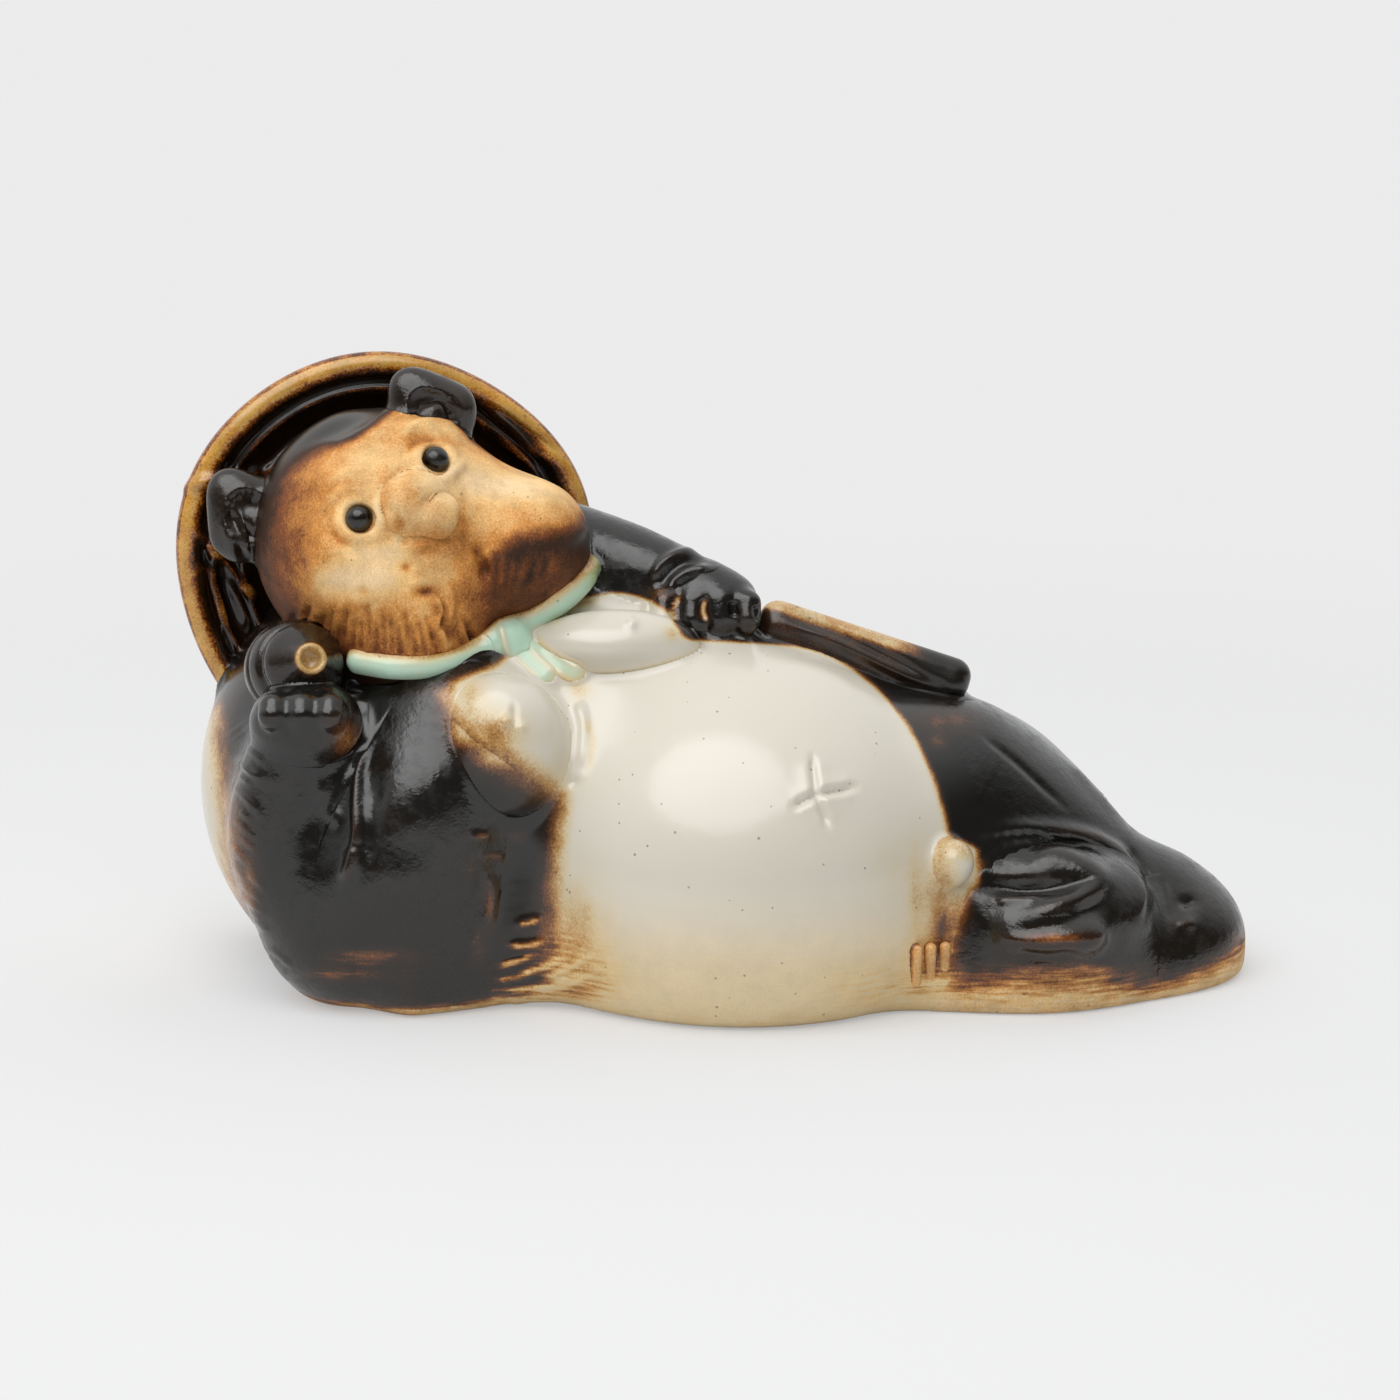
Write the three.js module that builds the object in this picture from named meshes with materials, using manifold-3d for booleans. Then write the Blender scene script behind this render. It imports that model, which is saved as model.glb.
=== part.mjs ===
// A reclining raccoon-dog figurine in glazed stoneware, lying on its right side with its head on its paw.
// The torso and the head are hollow clay shells. The hat, limbs, flask, ledger, hat strap and small sprigs are
// separate clay pieces, luted on with slip before firing, so a thin slip joint lies between any two of them.
// Millimetres, +Z up, +X towards the feet, -Y towards the belly. The origin lies on the base, under the body.
import * as THREE from "three";
import { mergeVertices } from "three/addons/utils/BufferGeometryUtils.js";
import Module from "manifold-3d";

const wasm = await Module();
wasm.setup();

// Clay, joints and vents
const WALL = 6; // thickness of the shells
const FLOOR = 6; // thickness of the base
const SLIP = 0.3; // slip joint between two luted pieces
const SEAM_Y = 5; // plane in which the two halves of the torso meet
const VENT = { x: -46, y: -8, radius: 9 }; // kiln vent in the base
const NECK_RADIUS = 7; // vent above it, from the hollow of the torso to that of the head

// Torso: egg shapes, by centre and full sizes, that flow into each other
const CHEST = { x: -47.5, y: 3, z: 33, width: 92, depth: 82, height: 88 };
const SHOULDER = { x: -16, y: 6, z: 46, width: 62, depth: 58, height: 50 };
const BELLY = { x: 8, y: -15, z: 22, width: 84, depth: 86, height: 80 };
const HIP = { x: 43, y: 0, z: 18, width: 66, depth: 68, height: 62 };
const TORSO_FLOW = 16; // how far the egg shapes melt into each other
const TORSO_HEART = { x: -8, y: -4, z: 26 }; // a point deep inside, from which the surface is found
const NAVEL = { x: 19, z: 41.5, radius: 1.4, lift: 0.4 }; // grooves that meet in a cross
const NAVEL_ARMS = [{ x: -3.2, z: -1.8 }, { x: 6.6, z: 1.3 }, { x: 2.3, z: -5 }, { x: -0.5, z: 6.3 }];

// Head: placed by its centre, tilted to its right and turned to its left; its pieces are in its own frame
const HEAD = { x: -51, y: -8, z: 80, tilt: 35, turn: 15 };
const SKULL = { x: -4.5, y: 2.5, z: 4.2, width: 48, depth: 56, height: 47.5 };
const CHEEK = { x: 12.7, y: -7, z: -10.5, width: 27.4, depth: 34, height: 25 };
const HEAD_FLOW = 9;
const HEAD_HEART = { x: 0, y: -4, z: 0 };
const MUZZLE = { x: -0.2, z: 8.1, lift: -3.3, width: 14.2, depth: 12, height: 12 };
const NOSE = { x: 2.6, z: 4.7, lift: 0.2, width: 8.4, depth: 7.5, height: 8 };
const EYE = { x: 8.8, z: 12, lift: -0.8, width: 5.2, depth: 5.2, height: 5.2 };
const RIGHT_EAR = { x: -22.2, y: 5, z: 22 };
const LEFT_EAR = { x: 14.5, y: -3.5, z: 18 };
const EAR = { width: 17.5, depth: 9, height: 16.5 };
const EAR_CUP = { width: 11.5, depth: 6, height: 10.5 };

// Hat: a shallow dish worn on the back of the head, open towards the viewer
const HAT = { x: -59, y: 8, z: 74, turn: 10, radius: 39, depth: 10, wall: 4.5, rim: 2.5 };
const HAT_RING = { count: 2, first: 24, step: 5.5, radius: 1.2 }; // ridges inside the hat

// Limbs: stations on the surface of the torso, lifted from it or sunk into it, with a radius
const RIGHT_UPPER_ARM = [
  { x: -43, z: 48, lift: -7, radius: 13 },
  { x: -53, z: 29, lift: -4, radius: 16 },
  { x: -60, z: 15, lift: -4, radius: 16.5 },
];
const RIGHT_FOREARM = [
  { x: -63, z: 15, lift: -4, radius: 15.5 },
  { x: -73, z: 29, lift: 1, radius: 11.5 },
  { x: -72, z: 43, lift: 4, radius: 9.5 },
];
const LEFT_ARM = [
  { x: -28, y: 4, lift: 0, radius: 11 },
  { x: -13, y: -3, lift: 2, radius: 9 },
  { x: -1, y: -9, lift: 4, radius: 6.5 },
];
const LEFT_LEG = [
  { x: 46, y: -14, lift: -16, radius: 17 },
  { x: 63, y: -13, lift: -18, radius: 14.5 },
  { x: 80, y: -10, z: 11.5, radius: 12 },
];
const LEFT_FOOT = { x: 83.5, y: -9, z: 6.5, width: 35, depth: 40, height: 28, drawn: 2 };
const RIGHT_LEG = { x: 60, y: -26, z: 14, width: 44, depth: 34, height: 30, drawn: 2.8 };
const SOLE = { x: 62.5, z: 14.6, lift: -0.6, width: 18, depth: 8, height: 7 };
const RIGHT_PAW = { x: -69.8, z: 52.5, lift: 9, width: 20, depth: 18, height: 16 };
const RIGHT_FINGER = { count: 3, spread: 5, radius: 2.6, rise: 4.2, forward: 1.2, drop: 1.2 };
const LEFT_PAW = { x: 3, y: -11, lift: 4, width: 15, depth: 14, height: 12 };
const LEFT_FINGER = { count: 4, spread: 3.8, radius: 2.2, rise: 0, forward: 1.4, drop: 3 };

// Things held, worn and sprigged on
const FLASK = { x: -72, z: 61, lift: 9, mouth: 1.8, bore: 3 };
const FLASK_OUTLINE = [
  { radius: 5.2, height: -11.5 },
  { radius: 8.4, height: -6 },
  { radius: 8.6, height: 0 },
  { radius: 7.2, height: 4 },
  { radius: 6.8, height: 7 },
  { radius: 3, height: 11.5 },
];
const FLASK_AIM = { x: 0.3, y: -0.88, z: 0.3 }; // direction in which its mouth points
const LEDGER = { width: 14, thick: 7, cover: 1.6, inset: 1.5 };
const LEDGER_ENDS = [{ x: 10.5, y: -7, lift: 1.5 }, { x: 49, y: -7, lift: 3.5 }];
const RIGHT_BREAST = { x: -35.3, z: 47.5, lift: 0.5, width: 24, depth: 20, height: 27 };
const LEFT_BREAST = { x: -15, z: 64, lift: 1, width: 29, depth: 12, height: 12 };
const STRAP = { radius: 2.3, wide: 2.9, lift: -0.2 };
const STRAP_KNOT = { x: -33, y: -27, z: 65, width: 8, depth: 7, height: 8 };
const STRAP_RIGHT = [{ x: -46.5, y: -33, z: 62 }, { x: -61, y: -32, z: 62.5 }];
const STRAP_LEFT = [{ x: -22, y: -24, z: 73 }, { x: -9, y: -14, z: 83 }];
const STRAP_TAILS = [{ x: -25.5, y: -30, z: 58 }, { x: -19, y: -29, z: 59 }];
const NECK_HEART = { x: -44, y: -6, z: 62 }; // a point deep inside the neck, from which the strap is seated
const NUB = { x: 45, z: 28, lift: 2, width: 7.2, depth: 8, height: 8.4 };
const FUR_LOCK = { count: 3, x: 38.4, step: 2.6, top: 13, bottom: 6.5, radius: 1, lift: 0.8 };

const FAR = 400; // larger than the figurine
const TORSO_FACETS = { around: 30, along: 22 };
const HEAD_FACETS = { around: 22, along: 16 };
const HOLLOW_FACETS = { around: 16, along: 12 };
const HAT_SIDES = 28;
const HAT_STEPS = 5; // of the bowl and of the rim's roll
const CAP_RINGS = 3; // on the round end of a limb
const HALVINGS = 40; // with which a surface is found
const FORWARD = new THREE.Vector3(0, -1, 0);
const UP = new THREE.Vector3(0, 0, 1);
const { clamp, degToRad, lerp } = THREE.MathUtils;

/** The numbers from 0 up to a count. */
const count = (length) => Array.from({ length }, (_, i) => i);

/** A point from its named coordinates. */
const at = ({ x, y, z }) => new THREE.Vector3(x, y, z);

/** Half the full sizes of a piece, grown all round. */
const half = ({ width, depth, height }, grow = 0) =>
  new THREE.Vector3(width, depth, height).multiplyScalar(0.5).addScalar(grow);

/** Signed distance, close enough near the surface, from an egg shape: negative inside. */
function eggField(shape) {
  const centre = at(shape);
  const radii = half(shape);
  const deepest = -Math.min(radii.x, radii.y, radii.z);
  const scaled = new THREE.Vector3();
  const slope = new THREE.Vector3();
  return (point) => {
    scaled.subVectors(point, centre).divide(radii);
    slope.copy(scaled).divide(radii);
    const size = scaled.length();
    return slope.length() > 0 ? (size * (size - 1)) / slope.length() : deepest;
  };
}

/** Several fields melted into one over a width of flow. */
function melted(fields, flow) {
  const melt = (a, b) => {
    const overlap = Math.max(flow - Math.abs(a - b), 0) / flow;
    return Math.min(a, b) - (overlap * overlap * flow) / 4;
  };
  return (point) => fields.map((field) => field(point)).reduce(melt);
}

/** Distance from a point inside a field, along a ray, to the surface of the field. */
function reach(start, ray, field) {
  let near = 0;
  let far = FAR;
  const probe = new THREE.Vector3();
  for (let i = 0; i < HALVINGS; i++) {
    const middle = (near + far) / 2;
    probe.copy(ray).multiplyScalar(middle).add(start);
    if (field(probe) < 0) near = middle;
    else far = middle;
  }
  return near;
}

/**
 * The point of a station on a field's surface, moved out by its lift. A station without a y lies on the front,
 * one without a z on the top, and one with both stays where it is.
 */
function seat(station, field, heart) {
  const start = at({ ...heart, ...station });
  if (station.y !== undefined && station.z !== undefined) return start;
  const ray = station.y === undefined ? FORWARD : UP;
  return start.addScaledVector(ray, reach(start, ray, field) + station.lift);
}

/** A closed form: each point of a sphere pushed out from the heart to where the field has grown to. */
function fieldForm(heart, field, grow, facets) {
  const geometry = new THREE.SphereGeometry(1, facets.around, facets.along).rotateZ(Math.PI / 2);
  const points = geometry.getAttribute("position");
  const grown = (point) => field(point) - grow;
  const ray = new THREE.Vector3();
  for (let i = 0; i < points.count; i++) {
    ray.fromBufferAttribute(points, i).normalize();
    const place = at(heart).addScaledVector(ray, reach(at(heart), ray, grown));
    points.setXYZ(i, place.x, place.y, place.z);
  }
  return geometry;
}

/** An egg shape around a centre, grown all round, whose lower half may be drawn out to stand on the ground. */
function egg(centre, shape, grow, around = 14, along = 9) {
  const radii = half(shape, grow);
  const ball = new THREE.SphereGeometry(1, around, along).rotateX(Math.PI / 2);
  const points = ball.getAttribute("position");
  for (let i = 0; i < points.count; i++) {
    const z = points.getZ(i);
    if (z < 0) points.setZ(i, z * (shape.drawn ?? 1));
  }
  return ball.scale(radii.x, radii.y, radii.z).translate(centre.x, centre.y, centre.z);
}

/** A limb: a capsule bent along a smooth curve through points, with a radius at each of them. */
function limb(points, radii, grow, sides = 12, steps = 6) {
  const curve = new THREE.CatmullRomCurve3(points);
  const frames = curve.computeFrenetFrames(steps);
  const geometry = new THREE.CapsuleGeometry(1, 1, CAP_RINGS, sides, steps);
  const places = geometry.getAttribute("position");
  for (let i = 0; i < places.count; i++) {
    const along = clamp(places.getY(i) + 0.5, 0, 1);
    const beyond = places.getY(i) + 0.5 - along;
    const span = along * (radii.length - 1);
    const before = Math.min(Math.floor(span), radii.length - 2);
    const radius = lerp(radii[before], radii[before + 1], span - before) + grow;
    const step = Math.round(along * steps);
    const place = curve.getPointAt(along);
    place.addScaledVector(frames.normals[step], places.getX(i) * radius);
    place.addScaledVector(frames.binormals[step], -places.getZ(i) * radius);
    place.addScaledVector(frames.tangents[step], beyond * radius);
    places.setXYZ(i, place.x, place.y, place.z);
  }
  return geometry;
}

/** Distance from a limb of straight stretches between points, with a radius at each of them. */
function limbField(points, radii) {
  const stretches = points.slice(1).map((point, i) => new THREE.Line3(points[i], point));
  return (point) => Math.min(...stretches.map((stretch, i) => {
    const along = stretch.closestPointToPointParameter(point, true);
    return stretch.at(along, new THREE.Vector3()).distanceTo(point) - lerp(radii[i], radii[i + 1], along);
  }));
}

/** A solid from a closed geometry, with its shared points merged. */
function solidOf(geometry) {
  const bare = geometry.clone();
  bare.deleteAttribute("normal");
  bare.deleteAttribute("uv");
  const merged = mergeVertices(bare, 1e-4);
  const corners = merged.index.array;
  const kept = [];
  for (let i = 0; i < corners.length; i += 3) {
    const [a, b, c] = corners.slice(i, i + 3);
    if (a !== b && b !== c && a !== c) kept.push(a, b, c);
  }
  const vertProperties = merged.getAttribute("position").array;
  return new wasm.Manifold(new wasm.Mesh({ numProp: 3, vertProperties, triVerts: new Uint32Array(kept) }));
}

/** One solid joined from several geometries. */
const joined = (geometries) => geometries.map(solidOf).reduce((a, b) => a.add(b));

/** An upright cylinder between two heights. */
const upright = (place, radius, low, high) =>
  solidOf(
    new THREE.CylinderGeometry(radius, radius, high - low, 20)
      .rotateX(Math.PI / 2)
      .translate(place.x, place.y, (low + high) / 2),
  );

/** Everything on the far side of an upright plane through the body. */
const behind = (y) => solidOf(new THREE.BoxGeometry(FAR, FAR, FAR).translate(0, y + FAR / 2, 0));

/** Everything below a height. */
const below = (z) => solidOf(new THREE.BoxGeometry(FAR, FAR, FAR).translate(0, 0, z - FAR / 2));

// Torso: two halves of one form, emptied out above the floor, with the vents and the navel cut in
const torsoField = melted([CHEST, SHOULDER, BELLY, HIP].map(eggField), TORSO_FLOW);
const onTorso = (station) => seat(station, torsoField, TORSO_HEART);
const torso = (grow, facets = TORSO_FACETS) => solidOf(fieldForm(TORSO_HEART, torsoField, grow, facets));
const torsoFront = (grow) => torso(grow).subtract(behind(SEAM_Y - SLIP / 2 + grow));
const torsoBack = (grow) => torso(grow).intersect(behind(SEAM_Y - SLIP / 2 - grow));
const torsoHollow = torso(-WALL, HOLLOW_FACETS).subtract(below(FLOOR));
const kilnVent = upright(VENT, VENT.radius, -SLIP, FLOOR + SLIP);
const neckVent = upright(VENT, NECK_RADIUS, CHEST.z, CHEST.z + CHEST.height);
const navel = joined(
  NAVEL_ARMS.map((arm) => {
    const end = { x: NAVEL.x + arm.x, z: NAVEL.z + arm.z, lift: NAVEL.radius };
    return limb([NAVEL, end].map(onTorso), [NAVEL.radius, NAVEL.radius], 0, 8, 1);
  }),
);

// Head, in its own frame
const headTurn = new THREE.Euler(0, degToRad(-HEAD.tilt), degToRad(HEAD.turn), "YZX");
const headFrame = new THREE.Matrix4().makeRotationFromEuler(headTurn).setPosition(at(HEAD));
const headField = melted([SKULL, CHEEK, { ...CHEEK, x: -CHEEK.x }].map(eggField), HEAD_FLOW);
const onFace = (station) => seat(station, headField, HEAD_HEART);
const inHead = (geometry) => solidOf(geometry.applyMatrix4(headFrame));
const head = (grow, facets = HEAD_FACETS) => inHead(fieldForm(HEAD_HEART, headField, grow, facets));
const onHead = (shape) => (grow) => inHead(egg(onFace(shape), shape, grow, 12, 8));
const ear = (place) => (grow) => inHead(egg(place, EAR, grow));
const earCup = (place) => inHead(egg({ ...place, y: place.y - EAR.depth / 2 }, EAR_CUP, 0));

// Hat: a dish with a rolled rim, its outside one wall away from its inside, turned about its own axis
function hat(grow) {
  const middle = HAT.radius - HAT.rim;
  const roll = HAT.rim + grow;
  const inner = middle - roll;
  const bowl = (radius, out) => new THREE.Vector2(radius, HAT.depth * (1 - (radius / inner) ** 2) + out);
  const radii = count(HAT_STEPS).map((i) => (inner * i) / HAT_STEPS);
  const inside = radii.map((radius) => bowl(radius, -grow));
  const rim = new THREE.Path().absarc(middle, 0, roll, Math.PI, 2.25 * Math.PI, false).getPoints(HAT_STEPS);
  const outside = radii.map((radius) => bowl(radius, HAT.wall + grow)).reverse();
  const rings = count(HAT_RING.count).map((i) => {
    const radius = HAT_RING.first + i * HAT_RING.step;
    const ring = new THREE.TorusGeometry(radius, HAT_RING.radius + grow, 6, HAT_SIDES).rotateX(Math.PI / 2);
    return ring.translate(0, bowl(radius, 0).y, 0);
  });
  const body = new THREE.LatheGeometry([...inside, ...rim, ...outside], HAT_SIDES);
  const place = new THREE.Matrix4().makeRotationZ(degToRad(HAT.turn)).setPosition(at(HAT));
  return joined([body, ...rings].map((geometry) => geometry.applyMatrix4(place)));
}

// Limbs
const stretch = (stations, grow) => limb(stations.map(onTorso), stations.map(({ radius }) => radius), grow);
const rightArm = (grow) => joined([stretch(RIGHT_UPPER_ARM, grow), stretch(RIGHT_FOREARM, grow)]);
const leftArm = (grow) => solidOf(stretch(LEFT_ARM, grow));
const leftLeg = (grow) => solidOf(stretch(LEFT_LEG, grow));
const rightLeg = (grow) => solidOf(egg(RIGHT_LEG, RIGHT_LEG, grow));
const leftFoot = (grow) => solidOf(egg(LEFT_FOOT, LEFT_FOOT, grow));
const rightFoot = (grow) => solidOf(egg(seat(SOLE, eggField(RIGHT_LEG), RIGHT_LEG), SOLE, grow));

/** A paw: an egg shape with fingers that curl over its front. */
const paw = (shape, finger) => (grow) => {
  const palm = onTorso(shape);
  const fingers = count(finger.count).map((i) => {
    const knuckle = palm.clone();
    knuckle.x += (i - (finger.count - 1) / 2) * finger.spread;
    knuckle.y -= shape.depth / 2 - finger.radius;
    knuckle.z += finger.rise;
    const tip = knuckle.clone().add(new THREE.Vector3(0, -finger.forward, -finger.drop));
    return limb([knuckle, tip], [finger.radius, finger.radius], grow, 7, 1);
  });
  return joined([egg(palm, shape, grow), ...fingers]);
};

// Flask: a turned bottle with a lip and a bored mouth, held above the right paw
const flaskTurn = new THREE.Quaternion().setFromUnitVectors(
  new THREE.Vector3(0, 1, 0),
  at(FLASK_AIM).normalize(),
);
const flaskFrame = new THREE.Matrix4().compose(onTorso(FLASK), flaskTurn, new THREE.Vector3(1, 1, 1));
const flaskFoot = FLASK_OUTLINE[0].height;
const flaskTop = FLASK_OUTLINE[FLASK_OUTLINE.length - 1].height;
const flaskMouth = solidOf(
  new THREE.CylinderGeometry(FLASK.mouth, FLASK.mouth, 2 * FLASK.bore, 12)
    .translate(0, flaskTop, 0)
    .applyMatrix4(flaskFrame),
);
function flask(grow) {
  const stations = FLASK_OUTLINE.map(({ radius, height }) => new THREE.Vector2(radius + grow, height));
  const outline = new THREE.SplineCurve(stations).getPoints(10);
  const ends = [flaskFoot - grow, flaskTop + grow].map((height) => new THREE.Vector2(0, height));
  return solidOf(new THREE.LatheGeometry([ends[0], ...outline, ends[1]], 14).applyMatrix4(flaskFrame));
}

// Ledger: a bound book on the slope of the belly, its pages set back between its covers
const [ledgerStart, ledgerEnd] = LEDGER_ENDS.map(onTorso);
const ledgerLength = ledgerStart.distanceTo(ledgerEnd);
const ledgerTurn = new THREE.Quaternion().setFromUnitVectors(
  new THREE.Vector3(1, 0, 0),
  ledgerEnd.clone().sub(ledgerStart).normalize(),
);
const ledgerFrame = new THREE.Matrix4().compose(
  ledgerStart.clone().lerp(ledgerEnd, 0.5),
  ledgerTurn,
  new THREE.Vector3(1, 1, 1),
);
const ledger = (grow) => {
  const sizes = [ledgerLength, LEDGER.width, LEDGER.thick].map((size) => size + 2 * grow);
  return solidOf(new THREE.BoxGeometry(...sizes).applyMatrix4(ledgerFrame));
};
const ledgerPages = solidOf(
  new THREE.BoxGeometry(ledgerLength - 2 * LEDGER.cover, 2 * LEDGER.inset, LEDGER.thick - 2 * LEDGER.cover)
    .translate(0, -LEDGER.width / 2, 0)
    .applyMatrix4(ledgerFrame),
);

// Hat strap: bands from a knot on the chest, up both sides of the chin, and two tails
const worldToHead = headFrame.clone().invert();
const leftArmField = limbField(LEFT_ARM.map(onTorso), LEFT_ARM.map(({ radius }) => radius));
const neckField = (point) =>
  Math.min(torsoField(point), leftArmField(point), headField(point.clone().applyMatrix4(worldToHead)));
const onNeck = (target) => {
  const ray = at(target).sub(at(NECK_HEART)).normalize();
  return at(NECK_HEART).addScaledVector(ray, reach(at(NECK_HEART), ray, neckField) + STRAP.lift);
};
const band = (targets, radius) => (grow) => {
  const curve = new THREE.CatmullRomCurve3([STRAP_KNOT, ...targets].map(at));
  const route = curve.getSpacedPoints(2 * targets.length);
  return solidOf(limb(route.map(onNeck), route.map(() => radius), grow, 8, route.length));
};
const knot = (grow) => solidOf(egg(onNeck(STRAP_KNOT), STRAP_KNOT, grow));

const onBody = (shape) => (grow) => solidOf(egg(onTorso(shape), shape, grow));
const furLock = (index) => (grow) => {
  const x = FUR_LOCK.x + index * FUR_LOCK.step;
  const ends = [FUR_LOCK.top, FUR_LOCK.bottom].map((z) => onTorso({ x, z, lift: FUR_LOCK.lift }));
  return solidOf(limb(ends, [FUR_LOCK.radius, FUR_LOCK.radius], grow, 6, 2));
};

// Finishes
const finish = (color, roughness) => new THREE.MeshStandardMaterial({ color, roughness, metalness: 0 });
const CREAM = finish(0xdcd4c4, 0.25);
const BLACK = finish(0x26221f, 0.2);
const BUFF = finish(0xc99a62, 0.6);
const AMBER = finish(0xa9752c, 0.35);
const GREEN = finish(0x9fc4ae, 0.3);
const BROWN = finish(0x5a4030, 0.35);

/** The triangles of a solid as a geometry. */
function geometryOf(solid) {
  const { vertProperties, triVerts } = solid.getMesh();
  return new THREE.BufferGeometry()
    .setAttribute("position", new THREE.BufferAttribute(vertProperties, 3))
    .setIndex(new THREE.BufferAttribute(triVerts, 1));
}

// The room that each piece takes up with its slip, in the order in which the pieces are luted on
const rooms = [];

/** Add a piece to a group: its form, with its own cuts, cut back by the ground and by the pieces before it. */
function lute(group, name, material, form, cuts = []) {
  const fitted = [below(0), ...cuts, ...rooms].reduce((solid, cut) => solid.subtract(cut), form(0));
  const [largest] = fitted.decompose().sort((a, b) => b.volume() - a.volume());
  rooms.push(form(SLIP));
  group.updateMatrixWorld();
  const geometry = geometryOf(largest).applyMatrix4(group.matrixWorld.clone().invert());
  geometry.computeBoundingBox();
  const mesh = new THREE.Mesh(geometry, material);
  mesh.name = name;
  geometry.boundingBox.getCenter(mesh.position);
  geometry.translate(...mesh.position.clone().negate());
  group.add(mesh);
}

/** A sub-assembly of the figurine, placed by its centre and turned. */
function subassembly(place = new THREE.Vector3(), turn = new THREE.Euler()) {
  const group = new THREE.Group();
  group.position.copy(place);
  group.rotation.copy(turn);
  figurine.add(group);
  return group;
}

const figurine = new THREE.Group();
const trunk = subassembly();
const headGroup = subassembly(at(HEAD), headTurn);
const arms = subassembly();
const legs = subassembly();
const strap = subassembly();

lute(trunk, "torso_front", CREAM, torsoFront, [torsoHollow, kilnVent, neckVent, navel]);
lute(trunk, "torso_back", CREAM, torsoBack, [torsoHollow, kilnVent, neckVent]);
lute(headGroup, "hat", AMBER, hat);
lute(headGroup, "right_eye", BLACK, onHead({ ...EYE, x: -EYE.x }));
lute(headGroup, "left_eye", BLACK, onHead(EYE));
lute(headGroup, "head", BUFF, head, [head(-WALL, HOLLOW_FACETS)]);
lute(headGroup, "muzzle", BUFF, onHead(MUZZLE));
lute(headGroup, "nose", BUFF, onHead(NOSE));
lute(headGroup, "right_ear", BLACK, ear(RIGHT_EAR), [earCup(RIGHT_EAR)]);
lute(headGroup, "left_ear", BLACK, ear(LEFT_EAR), [earCup(LEFT_EAR)]);
lute(trunk, "right_breast", CREAM, onBody(RIGHT_BREAST));
lute(trunk, "left_breast", CREAM, onBody(LEFT_BREAST));
lute(arms, "right_arm", BLACK, rightArm);
lute(arms, "right_paw", BLACK, paw(RIGHT_PAW, RIGHT_FINGER));
lute(arms, "flask", BLACK, flask, [flaskMouth]);
lute(arms, "left_arm", BLACK, leftArm);
lute(arms, "left_paw", BLACK, paw(LEFT_PAW, LEFT_FINGER));
lute(arms, "ledger", BROWN, ledger, [ledgerPages]);
lute(legs, "left_leg", BLACK, leftLeg);
lute(legs, "right_leg", BLACK, rightLeg);
lute(legs, "left_foot", BLACK, leftFoot);
lute(legs, "right_foot", BLACK, rightFoot);
lute(strap, "strap_knot", GREEN, knot);
lute(strap, "strap_right", GREEN, band(STRAP_RIGHT, STRAP.radius));
lute(strap, "strap_left", GREEN, band(STRAP_LEFT, STRAP.wide));
lute(strap, "strap_tail_right", GREEN, band([STRAP_TAILS[0]], STRAP.radius));
lute(strap, "strap_tail_left", GREEN, band([STRAP_TAILS[1]], STRAP.radius));
lute(trunk, "nub", CREAM, onBody(NUB));
for (const i of count(FUR_LOCK.count)) lute(trunk, `fur_lock_${i + 1}`, BUFF, furLock(i));

export default figurine;
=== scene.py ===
"""Reclining raccoon-dog figurine in glazed stoneware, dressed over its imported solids.

Each clay piece is a surface pressed out of a field along rays on a grid. Slip fills its joints to the pieces
around it, relief is modelled on it, and coats of glaze are stored on its points. Lengths are in millimetres
until a mesh is made, and what is drawn on the front is in pixels of the 1400 by 1400 view.
"""

import logging
import math
from collections.abc import Callable, Iterable
from dataclasses import dataclass, field
from enum import Enum

import bpy
import numpy as np
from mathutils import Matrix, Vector


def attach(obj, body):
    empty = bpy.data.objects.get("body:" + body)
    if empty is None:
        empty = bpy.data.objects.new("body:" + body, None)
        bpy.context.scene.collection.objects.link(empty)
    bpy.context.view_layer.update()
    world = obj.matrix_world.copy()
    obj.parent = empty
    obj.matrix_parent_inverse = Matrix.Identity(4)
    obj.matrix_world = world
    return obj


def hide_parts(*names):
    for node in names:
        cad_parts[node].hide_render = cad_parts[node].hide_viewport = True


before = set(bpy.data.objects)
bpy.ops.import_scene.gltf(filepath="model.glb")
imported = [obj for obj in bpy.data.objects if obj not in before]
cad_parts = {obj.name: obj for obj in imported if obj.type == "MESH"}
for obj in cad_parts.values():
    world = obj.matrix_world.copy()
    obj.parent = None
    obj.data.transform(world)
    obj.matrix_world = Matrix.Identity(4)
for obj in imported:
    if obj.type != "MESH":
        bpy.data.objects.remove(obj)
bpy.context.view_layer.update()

log = logging.getLogger("figurine")

Array = np.ndarray
Field = Callable[[Array], Array]
Pixels = tuple[tuple[float, float], ...]
Span = tuple[float, float]
Triple = tuple[float, float, float]
Point = tuple[float, ...] | Array
Rays = tuple[Array, Array]  # origins and directions
Grid = tuple[int, int, int]  # rows, rows of a cap and columns

METRES = 0.001  # in a millimetre
TINY = 1e-9
TRIES = 9  # with which a ray finds a surface
BODY = "root"
UP = (0.0, 0.0, 1.0)
BACK = (0.0, 1.0, 0.0)
FRONT = (0.0, -1.0, 0.0)


class Slot(Enum):
    """The record's finishes."""

    CREAM = "cream_glaze"
    BLACK = "black_glaze"
    BUFF = "buff_clay"
    AMBER = "amber_glaze"
    GREEN = "green_glaze"
    BROWN = "brown_glaze"


# Small tools


def unit(vectors: Array) -> Array:
    """Vectors brought to a length of one."""
    return vectors / np.maximum(np.linalg.norm(vectors, axis=-1, keepdims=True), TINY)


def clamp(values: Array) -> Array:
    """Values kept between 0 and 1."""
    return np.clip(values, 0.0, 1.0)


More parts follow.
